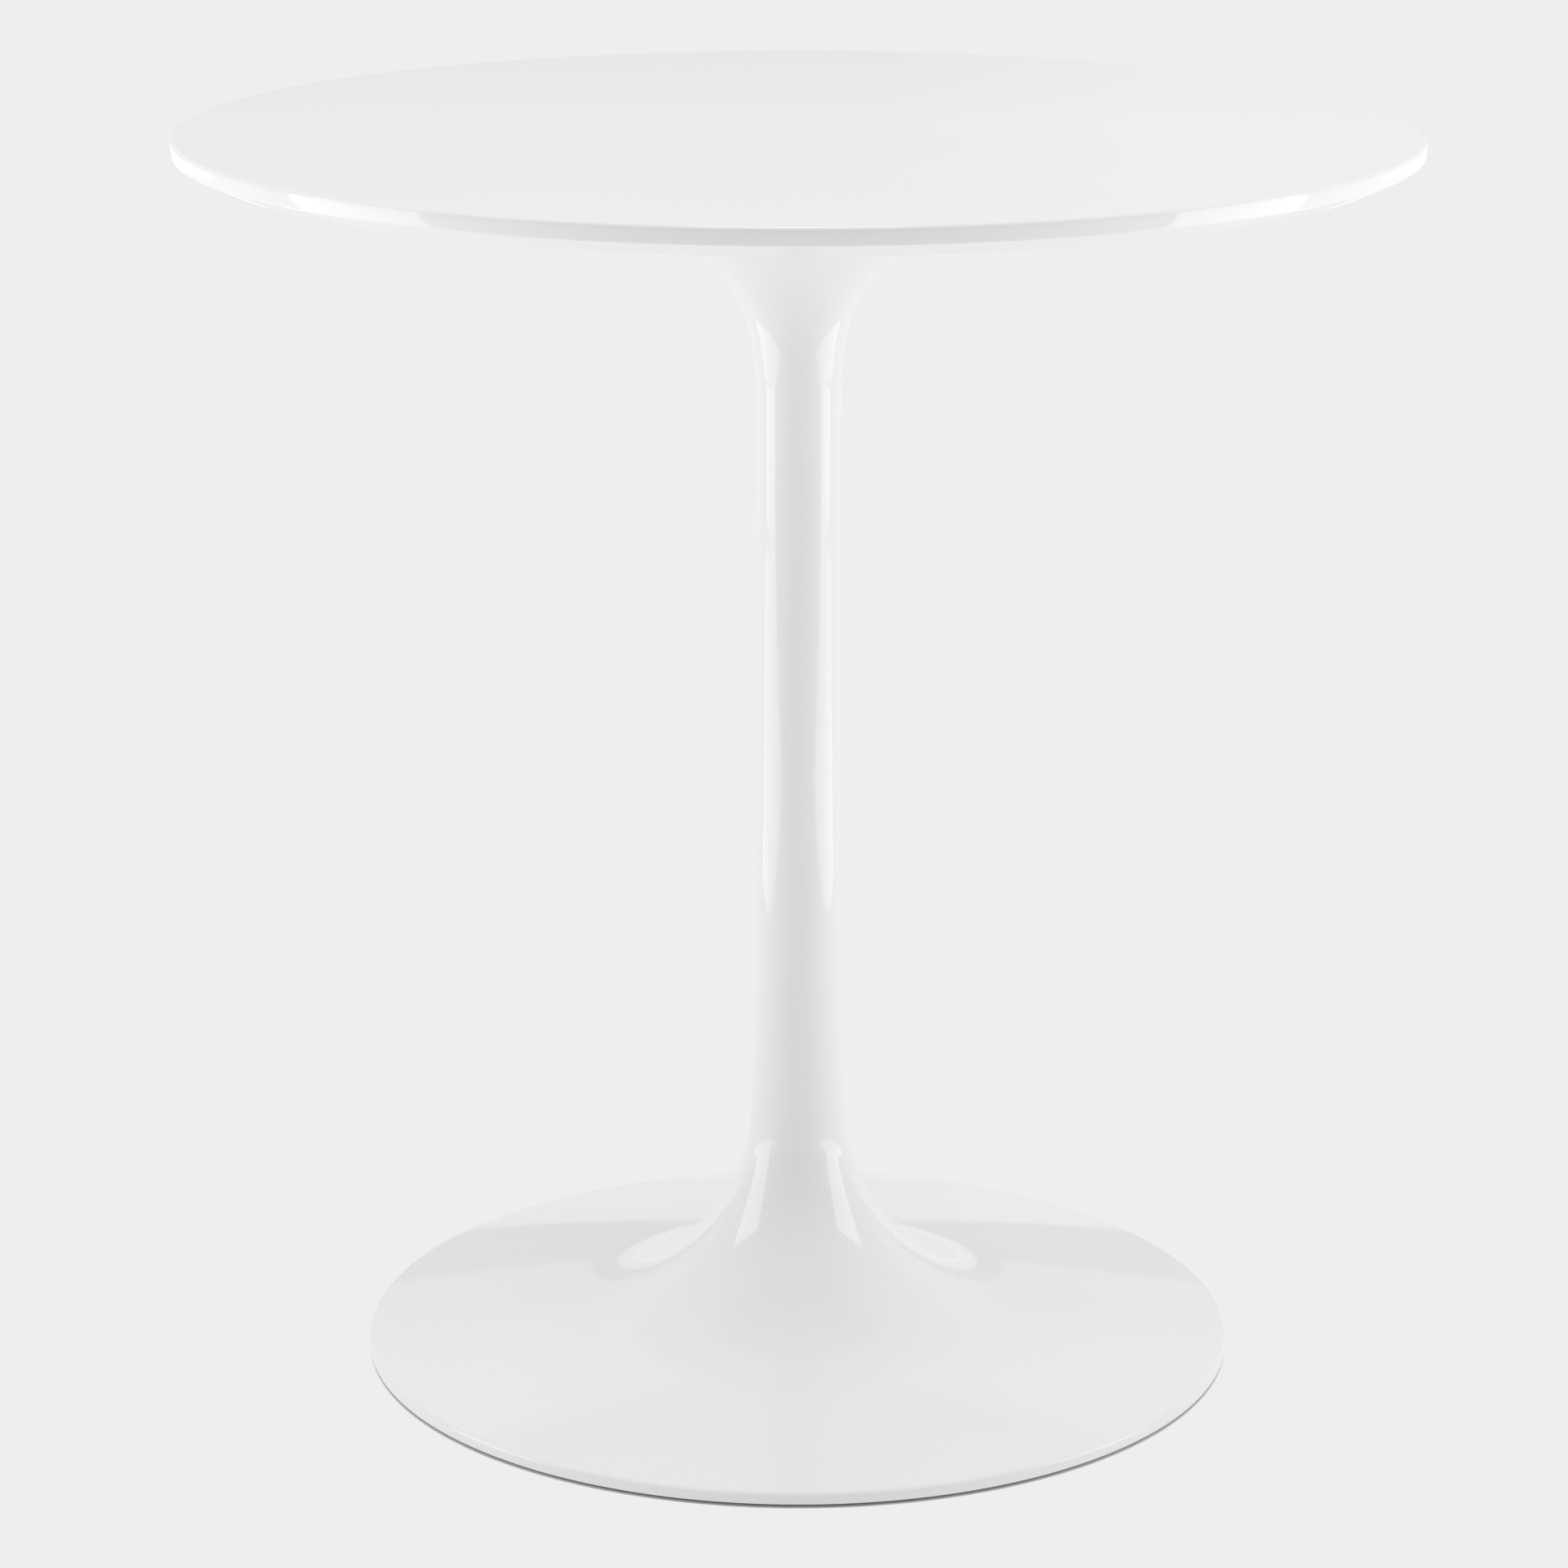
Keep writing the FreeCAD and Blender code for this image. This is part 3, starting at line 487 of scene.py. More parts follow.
def spread(bench, value, low, high):
    """Turns noise around a half into a value between two limits."""
    return bench.add("ShaderNodeMapRange", Value=value, From_Min=0.3, From_Max=0.7,
                     To_Min=low, To_Max=high).outputs[0]


lacquer_skin = new_tree(
    "lacquer_skin",
    [("Peel Size", "Float", 0.003), ("Peel Height", "Float", 1e-6), ("Wave Size", "Float", 0.08),
     ("Wave Height", "Float", 1e-5), ("Gloss Low", "Float", 0.05), ("Gloss High", "Float", 0.09)],
    [("Height", "Float", None), ("Roughness", "Float", None), ("Tint", "Float", None)],
)
bench = Bench(lacquer_skin)
fine = drift(bench, bench.given["Peel Size"], 1.0)
peel = bench.sum("MULTIPLY", fine, bench.given["Peel Height"])
slow = drift(bench, bench.given["Wave Size"], 0.0)
wave = bench.sum("MULTIPLY", slow, bench.given["Wave Height"])
bench.put(bench.result["Height"], bench.sum("ADD", peel, wave))
PATCH_SIZE, TINT_SIZE = 0.12, 0.25
patch = drift(bench, PATCH_SIZE, 3.0)
bench.put(bench.result["Roughness"],
          spread(bench, patch, bench.given["Gloss Low"], bench.given["Gloss High"]))
bench.put(bench.result["Tint"], spread(bench, drift(bench, TINT_SIZE, 2.0), 0.0, 1.0))


def new_finish(name, **constants):
    """A material with its own bench and shader; the constants go on the shader's sockets."""
    material = bpy.data.materials.new(name)
    material.use_nodes = True
    shader = material.node_tree.nodes["Principled BSDF"]
    for label, value in constants.items():
        shader.inputs[label.replace("_", " ")].default_value = value
    return material, Bench(material.node_tree, grouped=False), shader.inputs


def use(bench, group, **values):
    """Places a group in a material with its own values."""
    placed = bench.add("ShaderNodeGroup", {"node_tree": group}, **values)
    return placed.outputs


def blend_of(bench, mask, first, second):
    """A colour between two, by a mask."""
    mixer = bench.add("ShaderNodeMix", {"data_type": "RGBA"})
    bench.put(mixer.inputs["Factor"], mask)
    for socket, colour in ((mixer.inputs[6], first), (mixer.inputs[7], second)):
        bench.put(socket, (*colour, 1.0) if isinstance(colour, tuple) else colour)
    return mixer.outputs[2]


def relief(bench, shader, height):
    """Lets a height in metres bend the normal."""
    bump = bench.add("ShaderNodeBump", Strength=1.0, Distance=1.0, Height=height)
    bench.put(shader["Normal"], bump.outputs[0])


WHITES = (0.84, 0.84, 0.84), (0.83, 0.83, 0.825)



def grained(name, group, mask, first, second, constants, **grain):
    """A finish that drifts between two colours, with the grain of a group."""
    material, bench, shader = new_finish(name, **constants)
    skin = use(bench, group, **grain)
    bench.put(shader["Base Color"], blend_of(bench, skin[mask], first, second))
    bench.put(shader["Roughness"], skin["Roughness"])
    relief(bench, shader, skin["Height"])
    return material


board_lacquer = grained("board_lacquer", lacquer_skin, "Tint", *WHITES, {"IOR": 1.5},
                        Peel_Size=0.0035, Peel_Height=6e-7, Wave_Size=0.16, Wave_Height=1.2e-5,
                        Gloss_Low=0.035, Gloss_High=0.06)
casting_lacquer = grained("casting_lacquer", lacquer_skin, "Tint", *WHITES, {"IOR": 1.5},
                          Peel_Size=0.0028, Peel_Height=8e-7, Wave_Size=0.06, Wave_Height=1.5e-5,
                          Gloss_Low=0.04, Gloss_High=0.07)
print("lacquers:", board_lacquer.name, casting_lacquer.name)

# %% [markdown]
# ## Bare and plated metal
#
# The hidden parts are bright zinc on steel, brass, and black-dipped sand castings. All
# of them have a grain: fine marks on rolled or turned steel, pits on sand-cast iron.
# One group makes that grain from a size and a depth, with a roughness that follows it
# and a mask of duller patches, which zinc shows as faint clouds and iron as uneven dip.
# With other numbers it also does for milky nylon and for the pores of a foam ring.

# %% Build the metal group and the hidden finishes
metal_grain = new_tree(
    "metal_grain",
    [("Grain Size", "Float", 0.001), ("Grain Depth", "Float", 1e-5), ("Rough Low", "Float", 0.2),
     ("Rough High", "Float", 0.4), ("Cloud Size", "Float", 0.02)],
    [("Height", "Float", None), ("Roughness", "Float", None), ("Cloud", "Float", None)],
)
bench = Bench(metal_grain)
grain = drift(bench, bench.given["Grain Size"], 4.0)
bench.put(bench.result["Height"], bench.sum("MULTIPLY", grain, bench.given["Grain Depth"]))
bench.put(bench.result["Roughness"],
          spread(bench, grain, bench.given["Rough Low"], bench.given["Rough High"]))
cloud = drift(bench, bench.given["Cloud Size"], 3.0)
bench.put(bench.result["Cloud"], spread(bench, cloud, 0.0, 1.0))

METAL, PAINTED = {"Metallic": 1.0}, {"Metallic": 0.0}
MILKY = {"Subsurface_Weight": 0.3, "Subsurface_Scale": 0.002}
# name: two colours, the shader's constants, grain size and depth, two roughnesses, clouds
HIDDEN = {
    "zinc_plate": ((0.62, 0.64, 0.67), (0.50, 0.52, 0.55), METAL, 0.0006, 4e-6, 0.22, 0.38, 0.012),
    "turned_brass": ((0.75, 0.56, 0.27), (0.62, 0.45, 0.20), METAL, 0.0004, 3e-6, 0.2, 0.35, 0.008),
    "dipped_iron": ((0.030, 0.030, 0.032), (0.050, 0.048, 0.046), PAINTED,
                    0.0022, 3e-4, 0.45, 0.7, 0.05),
    "primed_casting": ((0.50, 0.50, 0.49), (0.40, 0.40, 0.39), PAINTED,
                       0.0018, 2e-4, 0.5, 0.75, 0.06),
    "natural_nylon": ((0.62, 0.62, 0.59), (0.55, 0.55, 0.51), MILKY, 0.0009, 8e-6, 0.35, 0.5, 0.01),
    "foam_rubber": ((0.60, 0.60, 0.58), (0.48, 0.48, 0.46), PAINTED,
                    0.0005, 1.5e-4, 0.8, 0.95, 0.004),
}
LABELS = ("Grain_Size", "Grain_Depth", "Rough_Low", "Rough_High", "Cloud_Size")
zinc, brass, iron, casting_inside, nylon, foam = (
    grained(name, metal_grain, "Cloud", first, second, constants, **dict(zip(LABELS, grain)))
    for name, (first, second, constants, *grain) in HIDDEN.items())
print("hidden finishes:", ", ".join(HIDDEN))

# %% [markdown]
# ## The board
#
# A lacquered fibreboard disc. Its top is flat to the edge, the edge band bulges by less
# than half a millimetre, as a hand-sanded edge does, and a wide bevel underneath makes
# the board look thinner than it is. It could be a cylinder with bevelled edges, but a
# section with its own rounds keeps every radius under control.

# %% Turn the board and drill it for the inserts
BAND_HEIGHT = 9.8 * MM
BAND_CROWN = 0.4 * MM
BEVEL_WIDTH = 19.0 * MM
board_low, board_high = bottom("table_top"), top("table_top")
band_radius = BOARD_RADIUS - BAND_CROWN
band_low = board_high - BAND_HEIGHT
EDGE_ROUND, TOP_ROUND = 1.0 * MM, 2.0 * MM
steps_up = [(band_radius, band_low + BAND_HEIGHT * share / 10) for share in range(2, 8)]
corners = [(0.0, board_low), (BOARD_RADIUS - BEVEL_WIDTH, board_low, EDGE_ROUND)]
corners += [(band_radius, band_low, EDGE_ROUND)] + steps_up
corners += [(band_radius, board_high, TOP_ROUND), (0.0, board_high)]


def crowned(point):
    """Pushes a point of the edge band out to its gentle bulge."""
    rise = (point[1] - band_low) / BAND_HEIGHT * 2 - 1
    bulge = BAND_CROWN * max(0.0, 1 - rise * rise) * (point[0] > band_radius / 1.01)
    return (point[0] + bulge, point[1])


def plug(name, radius, low, high, finish):
    """A plain cylinder on the axis, to drill with."""
    section = [(0, low), (radius, low), (radius, high), (0, high)]
    return turned(name, section, finish, SMALL_STEPS, closed=False)


band = [crowned(point) for point in rounded(corners, 8)]
board = turned("board", band, board_lacquer, 288, closed=False)
INSERT_RADIUS, HOLE_DEPTH, PLAY = 4.5 * MM, 13 * MM, 0.05 * MM
BOLT_COUNT = 6
BOLT_CIRCLE = reach("threaded_inserts") - INSERT_RADIUS
drill = plug("drill", INSERT_RADIUS + PLAY, board_low - MM, board_low + HOLE_DEPTH, board_lacquer)
board = cut(board, on_circle("drills", drill, BOLT_COUNT, BOLT_CIRCLE, board_lacquer))
deliver(board, "table", "lacquered_board", "table_top")

# %% [markdown]
# ## The pedestal
#
# One hollow casting runs from the rim on the floor to the lip under the board. From
# outside it is six pieces of line run together: rim, dish, bell, a very long neck, the
# straight column, and in the head a neck, a throat and a horn. Each bend is a true arc
# that meets the next at the same lean, so no seam shows in the gloss. The inner face is
# the same set of arcs with the wall added to each radius.

# %% Draw the casting's section
WALL = 4.5 * MM
COLUMN = 24.8 * MM
NECK_BEND, NECK_LEAN = 1490 * MM, 3.94
BELL_BEND, DISH_SLOPE = 126.2 * MM, 7.11
HEAD_NECK_BEND, HEAD_NECK_LEAN = 231 * MM, 7.8
THROAT_BEND, THROAT_LEAN = 85.5 * MM, 46.4
HORN_BEND, HORN_LEAN = 500 * MM, 56.7
RIM_HEIGHT, RIM_WIDTH, LIP_LAND = 9.2 * MM, 5.0 * MM, 1.0 * MM
slope = math.tan(math.radians(DISH_SLOPE))


def step_along(centre, old, new, lean, side):
    """Centre of the next bend, so that both touch at the given lean."""
    lean = math.radians(lean)
    step = old - new
    return (centre[0] - step * math.cos(lean), centre[1] + side * step * math.sin(lean))


bell_radius = step_along((COLUMN + NECK_BEND, 0), NECK_BEND, BELL_BEND, NECK_LEAN, -1)[0]
dish_start = bell_radius - BELL_BEND * math.sin(math.radians(DISH_SLOPE))
dish_height = RIM_HEIGHT + (FOOT_RADIUS - dish_start) * slope
bell = (bell_radius, dish_height + BELL_BEND * math.cos(math.radians(DISH_SLOPE)))
neck = step_along(bell, BELL_BEND, NECK_BEND, NECK_LEAN, -1)
lip = top("pedestal_shell")
head_neck = (COLUMN + HEAD_NECK_BEND, 0)
throat_radius = step_along(head_neck, HEAD_NECK_BEND, THROAT_BEND, HEAD_NECK_LEAN, 1)[0]
horn_radius = step_along((throat_radius, 0), THROAT_BEND, HORN_BEND, THROAT_LEAN, 1)[0]
horn = (horn_radius, lip - LIP_LAND - HORN_BEND * math.sin(math.radians(HORN_LEAN)))
throat = step_along(horn, HORN_BEND, THROAT_BEND, THROAT_LEAN, 1)
head_neck = step_along(throat, THROAT_BEND, HEAD_NECK_BEND, HEAD_NECK_LEAN, 1)
print(f"column straight from {neck[1]:.4f} to {head_neck[1]:.4f} m")


def casting_face(wall):
    """Points of one face of the casting from the dish up to the horn."""
    points = bend(bell, BELL_BEND + wall, 90 - DISH_SLOPE, NECK_LEAN, -1, 28)
    points += bend(neck, NECK_BEND + wall, NECK_LEAN, 0, -1, 10)[1:]
    points += bend(head_neck, HEAD_NECK_BEND + wall, 0, HEAD_NECK_LEAN, 1, 8)
    points += bend(throat, THROAT_BEND + wall, HEAD_NECK_LEAN, THROAT_LEAN, 1, 16)[1:]
    end = math.degrees(math.asin((lip - horn[1]) / (HORN_BEND + wall))) if wall else HORN_LEAN
    return points + bend(horn, HORN_BEND + wall, THROAT_LEAN, end, 1, 10)[1:]


rim_inside = FOOT_RADIUS - RIM_WIDTH
dish_drop = WALL / math.cos(math.radians(DISH_SLOPE))
rim_low = bottom("pedestal_shell")
rim = [(rim_inside, RIM_HEIGHT + RIM_WIDTH * slope - dish_drop, 1.0 * MM)]
rim += [(rim_inside, rim_low, 0.5 * MM), (FOOT_RADIUS, rim_low, 0.8 * MM)]
rim += [(FOOT_RADIUS, RIM_HEIGHT, 3.0 * MM)]
outside = casting_face(0)
lip_corner = [(outside[-1][0], lip, 0.3 * MM)]
casting_section = rounded(rim + outside + lip_corner + casting_face(WALL)[::-1])
print("casting section:", len(casting_section), "points")

# %% [markdown]
# ## Seat and bosses inside the foot
#
# Under the dish the casting carries a ring that the ballast is pulled up against, and
# four round bosses tapped for the glides. They are joined to the wall with exact
# Booleans, so that the piece stays one closed shell, as the casting is.

# %% Turn the casting and paint its inside
pedestal = turned("pedestal", casting_section, casting_lacquer, 192)
pedestal.data.materials.append(casting_inside)
for face in pedestal.data.polygons:
    outwards = face.center.xy.normalized()
    face.material_index = int(face.normal.xy.dot(outwards) < -0.05)

BALLAST_THICKNESS = 13.0 * MM
SEAT_WIDTH, SEAT_MARGIN = 12.0 * MM, 14.0 * MM
seat_low = bottom("ballast_disc") + BALLAST_THICKNESS
seat_outer = reach("ballast_disc") - SEAT_MARGIN
seat_inner = seat_outer - SEAT_WIDTH


def mid_wall(radius):
    """Height of the middle of the casting's wall above a point of the foot."""
    if radius > dish_start:
        return RIM_HEIGHT + (FOOT_RADIUS - radius) * slope - WALL / 2
    return bell[1] - math.sqrt((BELL_BEND + WALL / 2) ** 2 - (bell_radius - radius) ** 2)


seat_section = [(seat_inner, seat_low), (seat_outer, seat_low)]
seat_section += [(seat_outer, mid_wall(seat_outer)), (seat_inner, mid_wall(seat_inner))]
pedestal = cut(pedestal, turned("seat", seat_section, casting_inside, 192), "UNION")

# %% Add the four bosses and tap them
BOSS_RADIUS, BOSS_LOW = 12.0 * MM, 6.3 * MM
TAP_RADIUS, TAP_ROOF = 4.1 * MM, 0.95 * MM
FIRST_GLIDE = math.radians(45)
boss_high = mid_wall(GLIDE_CIRCLE)
boss_corners = [(0, BOSS_LOW), (BOSS_RADIUS, BOSS_LOW, 0.8 * MM)]
boss_corners += [(BOSS_RADIUS, boss_high), (0, boss_high)]
boss = turned("boss", rounded(boss_corners), casting_inside, 64, closed=False)
tap = plug("tap", TAP_RADIUS, 0, boss_high - TAP_ROOF, casting_inside)
for name, tool, operation in (("bosses", boss, "UNION"), ("taps", tap, "DIFFERENCE")):
    four = on_circle(name, tool, GLIDE_COUNT, GLIDE_CIRCLE, casting_inside, FIRST_GLIDE)
    pedestal = cut(pedestal, four, operation)
deliver(pedestal, "table", "lacquered_casting", "pedestal_shell")

# %% [markdown]
# ## Gasket and mounting plate
#
# A thin foam ring keeps the casting's lip off the paint of the board. Inside the lip a
# round steel plate is bolted to the board, and the rod pulls on it. Both are plain
# turned rings; the plate then gets its bolt holes with the same circle as the inserts.

# %% Make the gasket and the plate


def ring(name, inner, outer, low, high, finish, steps, soft=0.2 * MM):
    """A flat ring with softened edges."""
    corners = [(inner, low, soft), (outer, low, soft), (outer, high, soft), (inner, high, soft)]
    return turned(name, rounded(corners, 3), finish, steps)


def ring_for(name, node, finish, steps, soft):
    """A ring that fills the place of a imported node."""
    return ring(name, bore(node), reach(node), bottom(node), top(node), finish, steps, soft)


gasket = ring_for("gasket", "lip_gasket", foam, 192, 0.2 * MM)
deliver(gasket, "table", "gasket_foam", "lip_gasket")

plate = ring_for("mounting_plate_new", "mounting_plate", zinc, 144, 0.5 * MM)
BOLT_HOLE = 3.5 * MM
punch = plug("punch", BOLT_HOLE, bottom("mounting_plate") - MM, top("mounting_plate") + MM, zinc)
plate = cut(plate, on_circle("punches", punch, BOLT_COUNT, BOLT_CIRCLE, zinc))
deliver(plate, "table", "zinc_steel", "mounting_plate")

# %% [markdown]
# ## Hexagons, threads and split washers
#
# A hexagon is a cylinder with six flats, and its ends are chamfered with a cone, which
# leaves the curved corners that every real nut has. The lathe makes both at once when
# the cone gets a few rows. A bolt is then three pieces that share a rim: head, thread
# and tip. A spring washer is a ring of square wire cut through at a slant.

# %% Helpers for hardware
CHAMFER = math.tan(math.radians(30))
TIP = 0.6 * MM


def hexagon(across, low, high, flat_top=False):
    """Outside of a hexagon from its lower to its upper face, with 30 degree chamfers."""
    start, corner = across * 0.475, across / math.sqrt(3)
    cone = [start + (corner - start) * step / 5 for step in range(6)]
    rise = [(radius - start) * CHAMFER for radius in cone]
    points = [(radius, low + up, across) for radius, up in zip(cone, rise)]
    if flat_top:
        return points + [(corner, high, across)]
    return points + [(radius, high - up, across) for radius, up in zip(cone[::-1], rise[::-1])]


def nut(name, across, hole, low, high, finish):
    """A hexagon nut with a plain hole, broken at both ends."""
    lead = 0.5 * MM
    inside = [(hole + lead, high), (hole, high - lead), (hole, low + lead), (hole + lead, low)]
    return turned(name, hexagon(across, low, high) + inside, finish, SMALL_STEPS)


def screw(name, below, radius, pitch, low, high, finish):
    """A section from the axis out to the thread's root, then the thread and a tip."""
    root = root_of(radius, pitch)
    end_section = [(root, high - TIP), (root - TIP, high), (0, high)]
    start, end = (turned("part", section, finish, SMALL_STEPS, closed=False)
                  for section in (below + [(root, low)], end_section))
    return joined(name, [start, thread(radius, pitch, low, high - TIP, finish), end])


def split_ring(name, inner, outer, low, high, finish, steps):
    """A spring washer: a square-wire ring with a slanted split; angles in radians."""
    gap, slant = 0.12, 0.12
    corners = [(inner, low, 0.0), (outer, low, 0.0), (outer, high, slant), (inner, high, slant)]
    places, faces = [], []
    for step in range(steps + 1):
        turn = gap / 2 + (math.tau - gap) * step / steps
        places += [(radius * math.cos(turn + late), radius * math.sin(turn + late), height)
                   for radius, height, late in corners]
        here, there = 4 * step, 4 * step + 4
        faces += [(here + k, here + (k + 1) % 4, there + (k + 1) % 4, there + k)
                  for k in range(4) if step < steps]
    mesh = bpy.data.meshes.new(name)
    mesh.from_pydata(places, [], faces + [(3, 2, 1, 0), tuple(4 * steps + k for k in range(4))])
    mesh.materials.append(finish)
    return settle(link(name, mesh))


# %% [markdown]
# ## What holds the plate to the board
#
# Six brass inserts sit in blind holes under the board. A bolt with a flat and a spring
# washer goes up through the plate into each of them. One of each kind is made on the
# axis and then copied round the circle.

# %% Make the inserts, bolts and their washers
insert_low, insert_high = bottom("threaded_inserts"), top("threaded_inserts")
COARSE, SLEEVE_BORE = 2.0 * MM, 3.1 * MM
insert_root = root_of(INSERT_RADIUS, COARSE)
sleeve_section = [(insert_root, insert_high), (SLEEVE_BORE, insert_high)]
sleeve_section += [(SLEEVE_BORE, insert_low), (insert_root, insert_low)]
sleeve = turned("sleeve", sleeve_section, brass, SMALL_STEPS, closed=False)
outer_thread = thread(INSERT_RADIUS, COARSE, insert_low, insert_high, brass)
insert = joined("insert", [sleeve, outer_thread])
inserts = on_circle("inserts", insert, BOLT_COUNT, BOLT_CIRCLE, brass)
deliver(inserts, "table", "insert_brass", "threaded_inserts")

M6_FLATS, M6_RADIUS, M6_PITCH, M6_HOLE = 10 * MM, 3.0 * MM, 1.0 * MM, 3.2 * MM
head_low, head_high = bottom("plate_bolts"), bottom("bolt_spring_washers")
head = [(0, head_low)] + hexagon(M6_FLATS, head_low, head_high, flat_top=True)
bolt = screw("bolt", head, M6_RADIUS, M6_PITCH, head_high, top("plate_bolts"), zinc)
bolts = on_circle("bolts", bolt, BOLT_COUNT, BOLT_CIRCLE, zinc)
deliver(bolts, "table", "zinc_steel", "plate_bolts")

for node, make, outer in (("bolt_flat_washers", ring, 6.0 * MM),
                          ("bolt_spring_washers", split_ring, 5.3 * MM)):
    washer = make("washer", M6_HOLE, outer, bottom(node), top(node), zinc, steps=SMALL_STEPS)
    washers = on_circle(node.replace("bolt_", ""), washer, BOLT_COUNT, BOLT_CIRCLE, zinc)
    deliver(washers, "table", "zinc_steel", node)

# %% [markdown]
# ## The tie rod and its nuts
#
# A long M12 rod hangs from the plate's welded coupling nut, goes down the hollow column
# and through the ballast, and its bottom nut clamps everything together. Threads are
# rolled on both ends only, and the plain shank between them is thinner than the crests.

# %% Make the rod and the three nuts
ROD_RADIUS, ROD_PITCH = 6.0 * MM, 1.75 * MM
ROD_THREAD, SHANK_RADIUS = 60.0 * MM, 5.4 * MM
rod_low, rod_high = bottom("tie_rod"), top("tie_rod")
rod_root = root_of(ROD_RADIUS, ROD_PITCH)
shank_low, shank_high = rod_low + ROD_THREAD, rod_high - ROD_THREAD
SHANK_END = 0.5 * MM
plain_sections = [
    [(0, rod_low), (rod_root - TIP, rod_low), (rod_root, rod_low + TIP)],
    [(rod_root, shank_low), (SHANK_RADIUS, shank_low + SHANK_END),
     (SHANK_RADIUS, shank_high - SHANK_END), (rod_root, shank_high)],
    [(rod_root, rod_high - TIP), (rod_root - TIP, rod_high), (0, rod_high)],
]
rod_pieces = [turned("part", points, zinc, SMALL_STEPS, closed=False) for points in plain_sections]
for low, high in ((rod_low + TIP, shank_low), (shank_high, rod_high - TIP)):
    rod_pieces.append(thread(ROD_RADIUS, ROD_PITCH, low, high, zinc))
deliver(joined("rod", rod_pieces), "table", "zinc_steel", "tie_rod")

M12_FLATS, M12_BORE = 19 * MM, 6.1 * MM
for node in ("coupling_nut", "jam_nut", "rod_nut"):
    made = nut(f"{node}_new", M12_FLATS, M12_BORE, bottom(node), top(node), zinc)
    deliver(made, "table", "zinc_steel", node)

# %% [markdown]
# ## Ballast and its washers
#
# A tall narrow table needs weight low down. The disc is a rough sand casting dipped in
# black paint, with a hub in the middle, and a recess below where nut and washers sink
# out of the way of the floor.

# %% Make the ballast disc and the rod washers
HUB_RADIUS, RECESS_RADIUS = 32.0 * MM, 23.0 * MM
disc_low, hub_high = bottom("ballast_disc"), top("ballast_disc")
disc_radius, disc_bore = reach("ballast_disc"), bore("ballast_disc")
recess_high = top("rod_flat_washer")
ballast_section = [
    (disc_bore, recess_high), (RECESS_RADIUS, recess_high, MM), (RECESS_RADIUS, disc_low, MM),
    (disc_radius, disc_low, 2 * MM), (disc_radius, seat_low, 2 * MM),
    (HUB_RADIUS, seat_low, 2 * MM), (HUB_RADIUS, hub_high, 2 * MM), (disc_bore, hub_high, 0.5 * MM),
]
ballast = turned("ballast", rounded(ballast_section), iron, 144)
deliver(ballast, "table", "ballast_iron", "ballast_disc")

M12_HOLE = 6.5 * MM
for node, make, outer in (("rod_flat_washer", ring, 18.5 * MM),
                          ("rod_spring_washer", split_ring, 10.5 * MM)):
    washer = make(f"{node}_new", M12_HOLE, outer, bottom(node), top(node), zinc, steps=60)
    deliver(washer, "table", "zinc_steel", node)

# %% [markdown]
# ## Glides
#
# Each glide is a nylon pad that turns freely on the round foot of an M8 screw. A hex
# key through the hole in the pad turns the screw, and the pad rises or sinks by one
# pitch each turn. Pad and screw are two bodies, so each is its own mesh, and every
# glide gets its own copy because each one moves by itself.

# %% Make a pad and a screw for each glide
pad_high = top("glide_pad_1")
POCKET_LOW, POCKET_HIGH, POCKET_RADIUS = 1.0 * MM, 3.0 * MM, 6.5 * MM
KEY_HOLE, PAD_NECK, PAD_EDGE, PAD_ROUND = 3.0 * MM, 4.2 * MM, 0.8 * MM, 0.3 * MM
pad_section = [
    (KEY_HOLE, 0, PAD_ROUND), (PAD_RADIUS - PAD_EDGE, 0, PAD_ROUND),
    (PAD_RADIUS, PAD_EDGE, PAD_ROUND), (PAD_RADIUS, pad_high - PAD_EDGE, PAD_ROUND),
    (PAD_RADIUS - PAD_EDGE, pad_high, PAD_ROUND), (PAD_NECK, pad_high, 0.2 * MM),
    (PAD_NECK, POCKET_HIGH), (POCKET_RADIUS, POCKET_HIGH),
    (POCKET_RADIUS, POCKET_LOW), (KEY_HOLE, POCKET_LOW),
]
pad = turned("pad", rounded(pad_section, 3), nylon, 64)

stud_low, stud_high = bottom("glide_stud_1"), top("glide_stud_1")
M8_RADIUS, M8_PITCH = 4.0 * MM, 1.25 * MM
KEY, KEY_HIGH, STUD_EDGE = 4.0 * MM, 6 * MM, 0.3 * MM
STUD_FOOT, FOOT_HIGH = 6.3 * MM, 2.8 * MM
key_corner = KEY / math.sqrt(3)
stud_section = [
    (0, KEY_HIGH), (key_corner, KEY_HIGH, KEY), (key_corner, stud_low + STUD_EDGE, KEY),
    (key_corner + STUD_EDGE, stud_low), (STUD_FOOT - STUD_EDGE, stud_low),
    (STUD_FOOT, stud_low + STUD_EDGE), (STUD_FOOT, FOOT_HIGH),
]
stud = screw("stud", stud_section, M8_RADIUS, M8_PITCH, FOOT_HIGH, stud_high, zinc)
for number in range(1, GLIDE_COUNT + 1):
    turn = FIRST_GLIDE + (number - 1) * math.tau / GLIDE_COUNT
    for piece, finish, kind, slot in ((pad, nylon, "pad", "glide_nylon"),
                                      (stud, zinc, "stud", "zinc_steel")):
        made = on_circle(f"{kind}_{number}", piece.copy(), 1, GLIDE_CIRCLE, finish, turn)
        deliver(made, f"glide_{kind}_{number}", slot, f"glide_{kind}_{number}")
bpy.data.objects.remove(pad)
bpy.data.objects.remove(stud)
